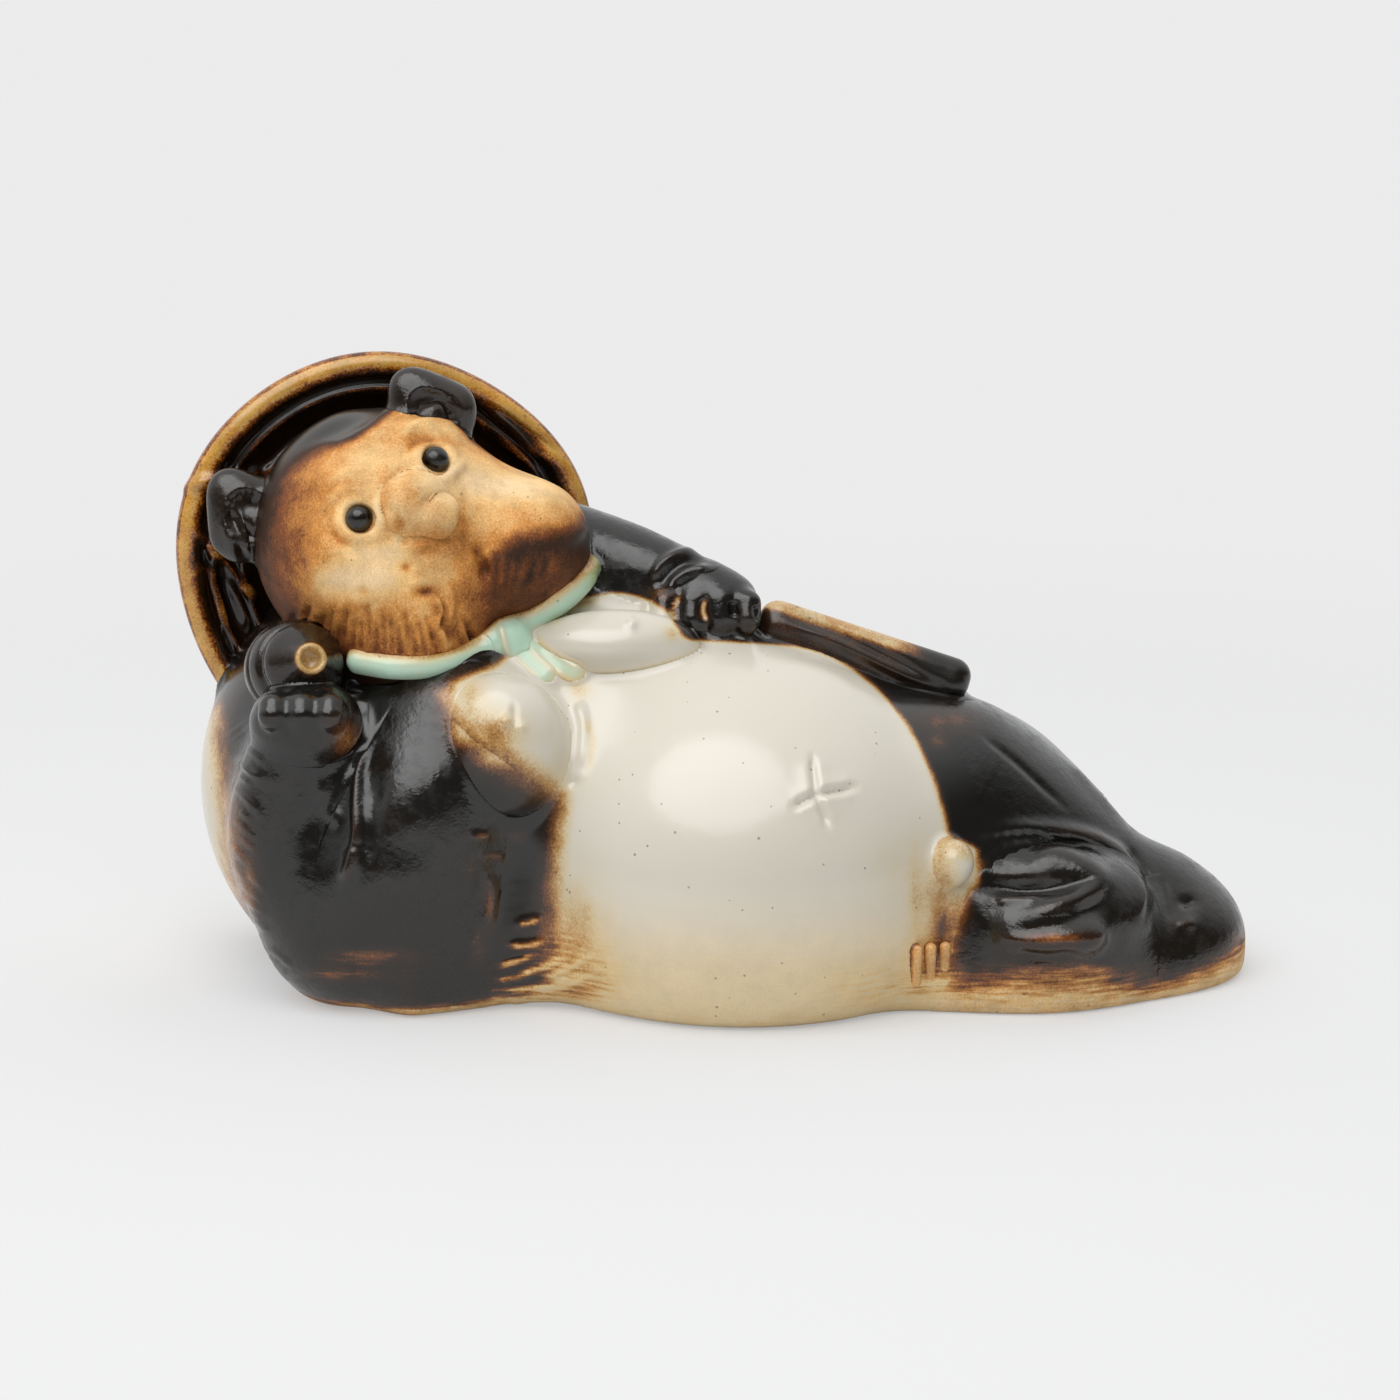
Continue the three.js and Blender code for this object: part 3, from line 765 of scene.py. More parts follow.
def body_coat(skin: Skin) -> Coat:
    """Glaze of the body: cream in its area, iron round it, thin on ridges, a cream back and a bare base.

    Args:
        skin: the surface.

    Returns:
        Its coat.
    """
    x, y, z = skin.points.T
    spots, facing = skin.spots, skin.facing
    left = LEFT_CREAM_AREA.share(spots, -1.2, 1.2)
    iron = np.where(y > SEAM, 1.0, CREAM_AREA.share(spots, 0.9, -1.3)) * (1.0 - left)
    iron = iron - total(SMEARS, spots) * facing * (iron > 0.5)
    iron = np.maximum(iron, total(HAZE, spots) * facing)
    ticks = total((Stroke(route, 0.55, 1.0) for route in FUR_TICKS), spots) * facing
    iron = iron * (1.0 - back_fade(x, y)) * (1.0 - 0.75 * ticks)
    wiped = np.interp(x, *np.array(BARE).T)
    bare = ease(1.8, 0.3, z / wiped)
    iron = iron * (1.0 - 0.92 * bare) + (0.06 + 0.18 * ease(*BROWN_BASE, x)) * bare
    rise = (z - wiped - 5.5 + 12.0 * ease(0.0, 30.0, y)) / 20.0
    cream = np.maximum(ease(0.0, 1.0, rise), left) * (1.0 - bare)
    thinned = 0.35 * np.clip(skin.ridge, 0.0, 0.6) * (iron > 0.3) * ease(*CLEAR, skin.clear)
    iron = clamp(iron - thinned)
    gloss = np.maximum(ease(0.02, 0.35, cream), ease(0.3, 0.7, iron)) * (1.0 - 0.8 * bare)
    return Coat(iron, cream, np.zeros(len(iron)), gloss)


def face_coat(skin: Skin) -> Coat:
    """Glaze of the face: bare buff clay with iron sprayed on round its edge, black behind the hairline,
    painted shade in its creases and painted highlights on its rises.

    Args:
        skin: the surface.

    Returns:
        Its coat.
    """
    spots = skin.spots
    across, down = spots.T
    outside = FACE_AREA.share(spots, 0.3, -1.6)
    halo = FACE_AREA.share(spots, 2.6, -0.2)
    chin = ease(*CHIN, down) * ease(*CHIN_SIDE, across)
    thin = (0.16 + 0.14 * ease(*JAW_SIDE, across)) * ease(*JAW, down)
    iron = 0.23 + np.maximum(0.28 * ease(*FACE_LEFT, across), 0.23 * chin) + 0.06 * halo
    iron = iron + (1.0 - thin - iron) * outside
    iron = np.maximum(iron, ease(0.5, 0.1, skin.facing))
    # Painted shade in the face's creases and dents and under the nose, with some brown iron, is added here.
    iron = iron + total(FACE_IRON_AND_SHADE, spots) * (1.0 - iron)
    # Painted highlights on the face's rises are taken out of the iron here.
    iron = iron - total(FACE_HIGHLIGHTS, spots) * (1.0 - outside)
    iron = np.clip(iron - 0.3 * np.clip(skin.ridge, -0.5, 0.5) * ease(*CLEAR, skin.clear), 0.02, 1.0)
    gloss = 0.06 + 0.8 * ease(0.76, 0.98, iron)
    return Coat(iron, NOSE_PAD(spots) * skin.facing, np.zeros(len(iron)), gloss)


# Materials

CLAY = (0.8, 0.61, 0.365)
CREAM = (0.69, 0.645, 0.55)
SEA_GREEN = (0.49, 0.75, 0.59)
IRON_TINTS = (
    (0.0, (1.0, 1.0, 1.0)),
    (0.16, (0.98, 0.86, 0.62)),
    (0.34, (0.72, 0.42, 0.16)),
    (0.56, (0.26, 0.105, 0.04)),
    (0.78, (0.05, 0.026, 0.016)),
    (1.0, (0.011, 0.0106, 0.0102)),
)
SPECK = (0.16, 0.12, 0.09)
SPECK_STRENGTH = 0.6
CREAM_UNEVEN = 0.16
GREEN_UNEVEN = 0.9
GLAZE_WAVES = 0.00016  # metres
SAND_HEIGHT = 0.00012  # metres
BUMP_STRENGTH = 0.8
GLAZE_IOR = 1.6


class Nodes:
    """A node tree that is filled in by short calls."""

    def __init__(self, tree: bpy.types.NodeTree) -> None:
        """Take a tree and clear it."""
        self.tree = tree
        tree.nodes.clear()

    def add(self, kind: str, links: dict | None = None, **settings: object) -> bpy.types.Node:
        """Add a node.

        Args:
            kind: its type, without the ShaderNode in front.
            links: values or output sockets by input name or number.
            settings: its properties.

        Returns:
            The node.
        """
        node = self.tree.nodes.new(kind if kind.startswith("Node") else f"ShaderNode{kind}")
        for name, value in settings.items():
            setattr(node, name, value)
        for key, value in (links or {}).items():
            if isinstance(value, bpy.types.NodeSocket):
                self.tree.links.new(value, node.inputs[key])
            else:
                node.inputs[key].default_value = value
        return node

    def math(self, operation: str, *values: object) -> bpy.types.NodeSocket:
        """A Math node's result."""
        return self.add("Math", dict(enumerate(values)), operation=operation).outputs[0]

    def mix(self, share: object, first: object, second: object, blend: str = "MIX") -> bpy.types.NodeSocket:
        """A mixed colour."""
        links = {0: share, 6: first, 7: second}
        return self.add("Mix", links, data_type="RGBA", blend_type=blend).outputs[2]

    def remap(self, value: object, low: float, high: float, to_low: float = 0.0, to_high: float = 1.0):
        """A value eased from one range to another."""
        links = {0: value, 1: low, 2: high, 3: to_low, 4: to_high}
        return self.add("MapRange", links, interpolation_type="SMOOTHSTEP").outputs[0]

    def noise(self, where: object, scale: float, detail: float = 2.0, roughness: float = 0.5):
        """A noise value between 0 and 1."""
        links = {"Vector": where, "Scale": scale, "Detail": detail, "Roughness": roughness}
        return self.add("TexNoise", links).outputs[0]

    def stretched(self, where: object, scale: Triple) -> bpy.types.NodeSocket:
        """Coordinates scaled along each axis."""
        return self.add("Mapping", {"Vector": where, "Scale": scale}).outputs[0]


class Group:
    """A shader node group with named inputs and outputs, built once."""

    def __init__(self, name: str, inputs: dict[str, float], outputs: dict[str, str]) -> None:
        """Make the group with its sockets.

        Args:
            name: the group.
            inputs: values by name.
            outputs: socket types by name.
        """
        self.tree = bpy.data.node_groups.new(name, "ShaderNodeTree")
        self.nodes = Nodes(self.tree)
        for label, value in inputs.items():
            socket = self.tree.interface.new_socket(label, in_out="INPUT", socket_type="NodeSocketFloat")
            socket.default_value = value
        for label, kind in outputs.items():
            self.tree.interface.new_socket(label, in_out="OUTPUT", socket_type=kind)
        self.source = self.nodes.add("NodeGroupInput")
        self.result = self.nodes.add("NodeGroupOutput")
        self.where = self.nodes.add("TexCoord").outputs["Object"]

    def give(self, label: str, socket: bpy.types.NodeSocket) -> None:
        """Send a socket to an output."""
        self.tree.links.new(socket, self.result.inputs[label])

    def place(self, nodes: Nodes, links: dict | None = None) -> bpy.types.Node:
        """Put the group into a material."""
        return nodes.add("Group", links, node_tree=self.tree)


FLOAT, COLOUR = "NodeSocketFloat", "NodeSocketColor"


def broken_edge_group() -> Group:
    """A mask with an uneven edge, moved most where it is half strong: mottled, speckled and brushed."""
    group = Group("Broken Edge", {"Mask": 0.0, "Amount": 0.5, "Streaks": 1.0}, {"Mask": FLOAT})
    nodes = group.nodes
    mask, amount, streaks = (group.source.outputs[label] for label in ("Mask", "Amount", "Streaks"))
    coarse = nodes.math("MULTIPLY", nodes.noise(group.where, scale=240.0, detail=3.0, roughness=0.6), 0.7)
    fine = nodes.math("MULTIPLY", nodes.noise(group.where, scale=2400.0, detail=2.0, roughness=0.7), 0.7)
    brush = nodes.noise(nodes.stretched(group.where, (160.0, 160.0, 1500.0)), scale=1.0)
    height = nodes.add("SeparateXYZ", {0: group.where}).outputs[2]
    swept = nodes.math("MULTIPLY", nodes.remap(height, 0.02, 0.005, 0.0, 1.6), streaks)
    strokes = nodes.math("MULTIPLY", nodes.math("SUBTRACT", brush, 0.5), swept)
    centred = nodes.math("ADD", nodes.math("SUBTRACT", nodes.math("ADD", coarse, fine), 0.7), strokes)
    half = nodes.math("MULTIPLY", nodes.math("MULTIPLY", mask, nodes.math("SUBTRACT", 1.0, mask)), 4.0)
    push = nodes.math("MULTIPLY", nodes.math("MULTIPLY", centred, half), amount)
    group.give("Mask", nodes.add("Clamp", {0: nodes.math("ADD", mask, push)}).outputs[0])
    return group


def iron_tint_group() -> Group:
    """The colour that light takes on through iron glaze, from clear over amber and brown to black."""
    group = Group("Iron Tint", {"Iron": 0.0}, {"Colour": COLOUR})
    ramp = group.nodes.add("ValToRGB", {0: group.source.outputs["Iron"]})
    stops = ramp.color_ramp.elements
    for place, _ in IRON_TINTS[1:-1]:
        stops.new(place)
    for stop, (_, colour) in zip(stops, IRON_TINTS):
        stop.color = (*colour, 1.0)
    group.give("Colour", ramp.outputs[0])
    return group


def specks_group() -> Group:
    """Specks that the clay sends up through the glaze: small dots in a few cells of a pattern."""
    group = Group("Kiln Specks", {"Scale": 420.0, "Share": 0.3, "Size": 0.16}, {"Mask": FLOAT})
    nodes = group.nodes
    cells = nodes.add("TexVoronoi", {"Vector": group.where, "Scale": group.source.outputs["Scale"]})
    chance = nodes.add("SeparateColor", {0: cells.outputs["Color"]}).outputs[0]
    chosen = nodes.math("LESS_THAN", chance, group.source.outputs["Share"])
    size = nodes.math("MULTIPLY", group.source.outputs["Size"], nodes.math("ADD", chance, 0.5))
    dot = nodes.math("LESS_THAN", cells.outputs["Distance"], size)
    group.give("Mask", nodes.math("MULTIPLY", dot, chosen))
    return group


def clay_grain_group() -> Group:
    """Fired clay: mottled tone, fine sand and the height of its grain."""
    group = Group("Clay Grain", {}, {"Tone": FLOAT, "Height": FLOAT})
    nodes = group.nodes
    mottle = nodes.noise(group.where, scale=180.0, detail=4.0, roughness=0.6)
    sand = nodes.noise(group.where, scale=3200.0, detail=2.0, roughness=0.7)
    tone = nodes.math("ADD", nodes.math("MULTIPLY", mottle, 0.55), nodes.math("MULTIPLY", sand, 0.45))
    group.give("Tone", nodes.remap(tone, 0.3, 0.7, 0.74, 1.18))
    group.give("Height", sand)
    return group


def glaze_skin_group() -> Group:
    """The height of a glaze surface: long soft waves with pitting."""
    group = Group("Glaze Skin", {"Pits": 0.1}, {"Height": FLOAT})
    nodes = group.nodes
    waves = nodes.noise(group.where, scale=130.0)
    pits = nodes.noise(group.where, scale=900.0, detail=3.0, roughness=0.6)
    pitted = nodes.math("MULTIPLY", pits, group.source.outputs["Pits"])
    group.give("Height", nodes.math("ADD", waves, pitted))
    return group


@dataclass(frozen=True)
class Finish:
    """What sets one finish apart: its colours, how much grain and iron vary, its specks and its gloss."""

    slot: Slot
    clay: Triple = CLAY
    cream: Triple = CREAM
    grain: float = 1.0
    uneven: float = 0.6
    speck_share: float = 0.3
    pits: float = 0.1
    streaks: float = 1.0
    dull: float = 0.0
    shine: float = 0.5
    coat: float = 0.0
    gloss_roughness: float = 0.2
    bare_roughness: float = 0.62


FINISHES = (
    Finish(Slot.CREAM, clay=(0.86, 0.7, 0.44), grain=0.35, uneven=0.75),
    Finish(Slot.BLACK, uneven=0.65, pits=0.7, dull=0.16),
    Finish(Slot.BUFF, clay=(0.9, 0.65, 0.375), speck_share=0.25, streaks=0.1, shine=0.2, coat=0.6,
           gloss_roughness=0.25),
    Finish(Slot.AMBER, clay=(0.64, 0.38, 0.1), uneven=1.7, speck_share=0.5, streaks=0.5, dull=0.1,
           gloss_roughness=0.16),
    Finish(Slot.GREEN, cream=(0.74, 0.68, 0.5), streaks=0.3),
    Finish(Slot.BROWN, clay=(0.62, 0.5, 0.3), uneven=0.9, speck_share=0.6),
)


@dataclass
class Stoneware:
    """The materials, made from shared groups."""

    groups: dict[str, Group] = field(default_factory=dict)
    materials: dict[Slot, bpy.types.Material] = field(default_factory=dict)

    def build(self) -> None:
        """Make the groups and a material for each finish."""
        makers = (broken_edge_group, iron_tint_group, specks_group, clay_grain_group, glaze_skin_group)
        for make in makers:
            group = make()
            self.groups[group.tree.name] = group
        for finish in FINISHES:
            self.materials[finish.slot] = self.make(finish)

    def make(self, finish: Finish) -> bpy.types.Material:
        """One finish: clay under cream under iron or green, glossy where it is glazed.

        Args:
            finish: its values.

        Returns:
            The material.
        """
        material = bpy.data.materials.new(finish.slot.value)
        material.use_nodes = True
        nodes = Nodes(material.node_tree)
        masks = {name: nodes.add("Attribute", attribute_name=name).outputs["Fac"]
                 for name in ("iron", "cream", "green", "gloss")}
        edge, tint, grain = (self.groups[name] for name in ("Broken Edge", "Iron Tint", "Clay Grain"))
        uneven = {"Amount": finish.uneven, "Streaks": finish.streaks}
        iron = edge.place(nodes, {"Mask": masks["iron"], **uneven}).outputs[0]
        cream = edge.place(nodes, {"Mask": masks["cream"], **uneven, "Amount": CREAM_UNEVEN}).outputs[0]
        green = edge.place(nodes, {"Mask": masks["green"], **uneven, "Amount": GREEN_UNEVEN}).outputs[0]
        sand = grain.place(nodes)
        clay = nodes.mix(finish.grain, (*finish.clay, 1.0), sand.outputs["Tone"], "MULTIPLY")
        body = nodes.mix(cream, clay, (*finish.cream, 1.0))
        specks = self.groups["Kiln Specks"].place(nodes, {"Share": finish.speck_share}).outputs[0]
        body = nodes.mix(nodes.math("MULTIPLY", specks, SPECK_STRENGTH), body, (*SPECK, 1.0))
        body = nodes.mix(green, body, (*SEA_GREEN, 1.0))
        colour = nodes.mix(1.0, body, tint.place(nodes, {"Iron": iron}).outputs[0], "MULTIPLY")
        glazed = nodes.remap(masks["gloss"], 0.0, 1.0, finish.bare_roughness, finish.gloss_roughness)
        skin = self.groups["Glaze Skin"].place(nodes, {"Pits": finish.pits}).outputs[0]
        where = nodes.add("TexCoord").outputs["Object"]
        dull = nodes.noise(where, scale=420.0, detail=3.0, roughness=0.6)
        roughness = nodes.math("ADD", glazed, nodes.remap(dull, 0.35, 0.75, -0.4 * finish.dull, finish.dull))
        bare = nodes.math("SUBTRACT", 1.0, masks["gloss"])
        sandy = nodes.math("MULTIPLY", nodes.math("MULTIPLY", sand.outputs["Height"], bare), SAND_HEIGHT)
        height = nodes.math("ADD", nodes.math("MULTIPLY", skin, GLAZE_WAVES), sandy)
        bump = nodes.add("Bump", {"Height": height, "Strength": BUMP_STRENGTH, "Distance": 1.0}).outputs[0]
        links = {
            "Base Color": colour, "Roughness": roughness, "Normal": bump, "IOR": GLAZE_IOR,
            "Specular IOR Level": finish.shine, "Coat Roughness": finish.gloss_roughness,
            "Coat Weight": nodes.math("MULTIPLY", masks["gloss"], finish.coat),
        }
        shader = nodes.add("BsdfPrincipled", links)
        nodes.add("OutputMaterial", {"Surface": shader.outputs[0]})
        return material


# Meshes


def closed_faces(rows: int, columns: int) -> tuple[Array, Array]:
    """Faces of a closed grid whose first and last rows are poles: quads between the rings, fans at the poles.

    Args:
        rows: of the grid, poles included.
        columns: around it.

    Returns:
        Quads and triangles as point numbers.
    """
    rings = rows - 2
    column = np.arange(columns)
    after = (column + 1) % columns
    first = 1 + columns * np.arange(rings - 1)[:, None]
    second = first + columns
    quads = np.stack([first + column, first + after, second + after, second + column], axis=-1)
    top, last = 1 + rings * columns, 1 + (rings - 1) * columns
    start = np.stack([np.zeros_like(column), 1 + after, 1 + column], axis=-1)
    end = np.stack([np.full_like(column, top), last + column, last + after], axis=-1)
    return quads.reshape(-1, 4), np.concatenate([start, end])


def closed_points(values: Array) -> Array:
    """Values on a grid as a list in which each pole row is one entry."""
    rows = values.shape[0]
    rings = values[1:rows - 1].reshape(-1, *values.shape[2:])
    return np.concatenate([values[:1].mean(axis=1), rings, values[-1:].mean(axis=1)])


def volume(points: Array, quads: Array) -> float:
    """Six times the volume inside quads, with its sign."""
    a, b, c, d = (points[quads[:, i]] for i in range(4))
    return float(np.sum(np.cross(a, b) * c) + np.sum(np.cross(a, c) * d))


@dataclass
class Dresser:
    """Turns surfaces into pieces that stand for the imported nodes."""

    stoneware: Stoneware
    sharp: float = math.radians(60.0)

    def dress(self, slot: Slot, *coated: tuple[Skin, Coat]) -> None:
        """Make a piece of one or more closed surfaces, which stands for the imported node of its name.

        Args:
            slot: its finish.
            coated: its surfaces, each with its glaze.
        """
        name = coated[0][0].name
        points, quads, fans, values = [], [], [], []
        for skin, coat in coated:
            shift = sum(len(part) for part in points)
            shape = skin.grid.shape[:2]
            own = closed_points(skin.grid) * METRES
            squares, triangles = closed_faces(*shape)
            if volume(own, squares) < 0:
                squares, triangles = squares[:, ::-1], triangles[:, ::-1]
            points.append(own)
            quads.append(squares + shift)
            fans.append(triangles + shift)
            values.append({key: closed_points(getattr(coat, key).reshape(shape)) for key in vars(coat)})
        mesh = self.mesh(name, np.concatenate(points), np.concatenate(quads), np.concatenate(fans))
        for key in values[0]:
            layer = mesh.attributes.new(key, "FLOAT", "POINT")
            layer.data.foreach_set("value", np.concatenate([part[key] for part in values]).astype(np.float32))
        mesh.materials.append(self.stoneware.materials[slot])
        piece = bpy.data.objects.new(name, mesh)
        bpy.context.scene.collection.objects.link(piece)
        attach(piece, BODY)
        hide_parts(name)
        log.info("%s: %d points", name, len(mesh.vertices))

    def mesh(self, name: str, points: Array, quads: Array, fans: Array) -> bpy.types.Mesh:
        """A smooth mesh from points, quads and triangles."""
        mesh = bpy.data.meshes.new(name)
        corners = np.concatenate([quads.ravel(), fans.ravel()])
        starts = np.concatenate([4 * np.arange(len(quads)), 4 * len(quads) + 3 * np.arange(len(fans))])
        mesh.vertices.add(len(points))
        mesh.vertices.foreach_set("co", points.ravel().astype(np.float32))
        mesh.loops.add(len(corners))
        mesh.loops.foreach_set("vertex_index", corners.astype(np.int32))
        mesh.polygons.add(len(starts))
        mesh.polygons.foreach_set("loop_start", starts.astype(np.int32))
        mesh.update(calc_edges=True)
        mesh.shade_smooth()
        mesh.set_sharp_from_angle(angle=self.sharp)
        return mesh


# Sub-assemblies


@dataclass
class Torso:
    """The two halves of the body."""

    chest: Egg = Egg((-47.5, 3.0, 33.0), (92.0, 82.0, 88.0))
    shoulder: Egg = Egg((-16.0, 6.0, 46.0), (62.0, 58.0, 50.0))
    belly: Egg = Egg((8.0, -15.0, 22.0), (84.0, 86.0, 80.0))
    hip: Egg = Egg((43.0, 0.0, 18.0), (66.0, 68.0, 62.0))
    flow: float = 16.0
    heart: Triple = (-8.0, -4.0, 26.0)
    seam: float = SEAM
    spine: tuple = ((-58.0, 32.0), (-22.0, 34.0), (10.0, 26.0), (44.0, 18.0))
    vent: Triple = (-46.0, -8.0, 9.0)
    vent_depth: float = 6.0
    rows: int = 300
    caps: int = 34
    columns: int = 235
    base_columns: float = 0.14  # share of the columns under the base
    base_turn: float = -0.6
    flat_columns: int = 5
    navel: Span = (816.0, 795.0)
    navel_arms: Pixels = ((812, 757), (794, 806), (856, 787), (829, 826))

    @property
    def form(self) -> Field:
        """The body: four egg shapes melted together."""
        return Melt((self.chest, self.shoulder, self.belly, self.hip), self.flow)

    def front(self, x: float, z: float, lift: float) -> Array:
        """A point on the front of the body, moved out by a lift."""
        return seat(self.form, (x, self.heart[1], z), FRONT, lift)

    def top(self, x: float, y: float, lift: float) -> Array:
        """A point on the top of the body, moved up by a lift."""
        return seat(self.form, (x, y, self.heart[2]), UP, lift)

    def half_rays(self, side: float) -> Rays:
        """Rays of one half, from under the body to the top of it, on the side given by its sign along Y."""
        x, z = np.array(self.spine).T
        spine = evenly(bend(np.stack([x, np.full(len(x), self.seam), z], axis=1), 80), self.rows)
        share = np.linspace(0.0, 1.0, self.columns)
        turns = np.interp(share, (0.0, self.base_columns, 1.0), (-math.pi / 2, self.base_turn, math.pi / 2))
        turns = turns if side < 0 else math.pi - turns
        return ring_rays(spine, UP, self.caps, turns)

    def half(self, clay: Clay, name: str, side: float, reliefs: tuple[Relief, ...]) -> Skin:
        """One half, closed by a flat face along the seam."""
        skin = pressed(clay, name, self.half_rays(side), 90.0, reliefs, form="torso")
        grid = skin.grid
        grid[:, 0, 1] = self.seam
        grid[:, -1, 1] = self.seam
        share = np.linspace(0.0, 1.0, self.flat_columns + 2)[1:-1][None, :, None]
        flat = grid[:, -1:] * (1.0 - share) + grid[:, :1] * share
        spread = [(0, 0), (0, self.flat_columns)]
        normals = np.pad(skin.normals, [*spread, (0, 0)], mode="edge")
        parts = (np.pad(part.reshape(grid.shape[:2]), spread, mode="edge").ravel()
                 for part in (skin.gap, skin.clear, skin.ridge))
        return Skin(name, np.concatenate([grid, flat], axis=1), normals, *parts)

    def vented(self, points: Array, normals: Array) -> Array:
        """The kiln vent: the base is pushed in inside the vent's circle."""
        x, y, radius = self.vent
        away = np.hypot(points[:, 0] - x, points[:, 1] - y)
        return -self.vent_depth * ease(radius, radius - 1.0, away) * (points[:, 2] < 0.5)

    def marks(self) -> Marks:
        """What is modelled on the front: navel, fur ticks beside the arm, and breastbone with a fold."""
        navel = [Stroke((self.navel, arm), 0.75, -1.2) for arm in self.navel_arms]
        lips = [Stroke((self.navel, arm), 2.2, 0.45) for arm in self.navel_arms]
        ticks = [Stroke(route, 0.7, 0.4) for route in FUR_TICKS]
        bone = [
            Stroke(((577, 700), (584, 730), (580, 772)), 1.3, 1.0),
            Stroke(((570, 779), (577, 784)), 0.8, -0.5),
        ]
        return (*navel, *lips, *ticks, *bone)

    def build(self, clay: Clay, dresser: Dresser, relief: Relief) -> None:
        """Make both halves, with the relief of the whole front."""
        front = self.half(clay, "torso_front", -1.0, (relief, self.vented))
        back = self.half(clay, "torso_back", 1.0, (self.vented,))
        for skin in (front, back):
            dresser.dress(Slot.CREAM, (skin, body_coat(skin)))


@dataclass
class Head:
    """The head in its own frame, with its muzzle, nose, eyes and ears."""

    centre: Triple = (-51.0, -8.0, 80.0)
    tilt: float = math.radians(35.0)
    turn: float = math.radians(15.0)
    skull: tuple = ((-4.5, 2.5, 4.2), (48.0, 56.0, 47.5))
    cheek: tuple = ((12.7, -7.0, -10.5), (27.4, 34.0, 25.0))
    flow: float = 9.0
    heart: Triple = (0.0, -4.0, 0.0)
    muzzle: tuple = (-0.2, 8.1, -3.3, (14.2, 12.0, 12.0))
    nose: tuple = (2.6, 4.7, 0.2, (8.4, 7.5, 8.0))
    eye: tuple = (8.8, 12.0, -1.4, (5.0, 5.0, 5.0))
    right_ear: Triple = (-22.2, 5.0, 22.0)
    left_ear: Triple = (14.5, -3.5, 18.0)
    ear: Triple = (17.5, 9.0, 16.5)
    ear_cup: Triple = (12.5, 8.0, 11.5)
    ear_lobe: Triple = (5.0, 5.0, 8.0)
    ear_shallow: float = 1.3  # how far the middle of the cup lies in front of the ear
    ear_pinch: float = 0.4  # how much narrower an ear is at its tip
    ear_draw: float = 0.16  # how far its tip is drawn up
    ear_high: Span = (-2.0, 9.0)  # heights over its middle between which both set in
    ear_heart: float = 2.4  # how far behind its middle the rays of an ear start
    lobe_shift: Triple = (1.0, 2.0, 2.5)  # inward, forward and down from the middle of the ear
    ear_rows: int = 54
    socket: float = 2.75  # radius of the dent under an eye
    socket_depth: float = 1.3
    lid: Triple = (3.6, 1.1, 0.5)  # radius, half width and height of the rim round it
    beard_count: int = 25
    beard_start: float = 296.0  # pixels, as the next four
    beard_step: float = 7.2
    beard_top: float = 616.0
    beard_wave: float = 9.0
    beard_middle: float = 372.0
    mask_depth: float = 3.0  # how much deeper the hair lies behind the edge of the face
    mask_edge: Span = (0.3, -3.5)  # distances from the edge where it starts, and is full
    mask_down: Span = (500.0, 470.0)  # the same in pixels down, on a slope, and across
    mask_across: Span = (400.0, 450.0)
    mask_slope: float = 0.45
    mask_middle: float = 520.0
    pad: Marks = (
        Dab((410, 488), (15, 20), 0.5), Stroke(((422, 508), (430, 498), (442, 494), (456, 502)), 0.8, -0.6),
        Stroke(((399, 518), (403, 532), (404, 548)), 0.9, -0.7),
    )
    lobes: Marks = (
        Dab((240, 528), (13, 26), 2.4), Stroke(((228, 508), (236, 535), (246, 560)), 0.9, -1.0),
        Dab((437, 410), (20, 11), 2.2), Stroke(((420, 412), (438, 404), (456, 414)), 0.9, -0.8),
    )
    rows: int = 96
    columns: int = 400
    small_rows: int = 44
    small_columns: int = 150

    @property
    def axes(self) -> Array:
        """The head's own axes as columns: turned about its Z, then tilted about Y."""
        c, s = math.cos(-self.tilt), math.sin(-self.tilt)
        tilted = np.array([[c, 0.0, s], [0.0, 1.0, 0.0], [-s, 0.0, c]])
        c, s = math.cos(self.turn), math.sin(self.turn)
        return tilted @ np.array([[c, -s, 0.0], [s, c, 0.0], [0.0, 0.0, 1.0]])

    def world(self, own: Point) -> Array:
        """A point of the head's frame in the figurine's."""
        return self.axes @ np.asarray(own, float) + np.asarray(self.centre)

    def egg(self, centre: Point, size: tuple[float, ...]) -> Egg:
        """An egg shape in the head's frame."""
        return Egg(tuple(self.world(centre)), size, self.axes)

    @property
    def form(self) -> Field:
        """The head: the skull and two cheeks melted together."""
        (x, y, z), size = self.cheek
        return Melt((self.egg(*self.skull), self.egg((x, y, z), size), self.egg((-x, y, z), size)), self.flow)

    def on_face(self, x: float, z: float, lift: float) -> Array:
        """A point of the head's frame on the face, moved out by a lift."""
        start = self.world((x, self.heart[1], z))[None]
        ray = (self.axes @ np.array([0.0, -1.0, 0.0]))[None]
        distance = reach(self.form, start, ray, 60.0)[0] + lift
        return np.array([x, self.heart[1] - distance, z])

    def sprig(self, shape: tuple, side: float = 1.0) -> Egg:
        """An egg shape that sits on the face."""
        x, z, lift, size = shape
        return self.egg(self.on_face(side * x, z, lift), size)

    def cupped(self, place: Triple) -> Field:
        """An ear: an egg shape hollowed in front, with a lobe in the hollow, drawn to a rounded tip."""
        x, y, z = place
        middle = self.world(place)
        outer = self.egg(place, self.ear)
        cup = self.egg((x, y - self.ear[1] / 2 - self.ear_shallow, z), self.ear_cup)
        inward, forward, down = self.lobe_shift
        lobe = self.egg((x - inward * np.sign(x), y - forward, z - down), self.ear_lobe)

        def form(points: Array) -> Array:
            own = (points - middle) @ self.axes
            high = ease(*self.ear_high, own[..., 2])[..., None]
            wider = self.ear_pinch * high * own[..., :1] * self.axes[:, 0]
            points = points + wider - self.ear_draw * high * own[..., 2:] * self.axes[:, 2]
            return np.minimum(np.maximum(outer(points), -cup(points)), lobe(points))

        return form

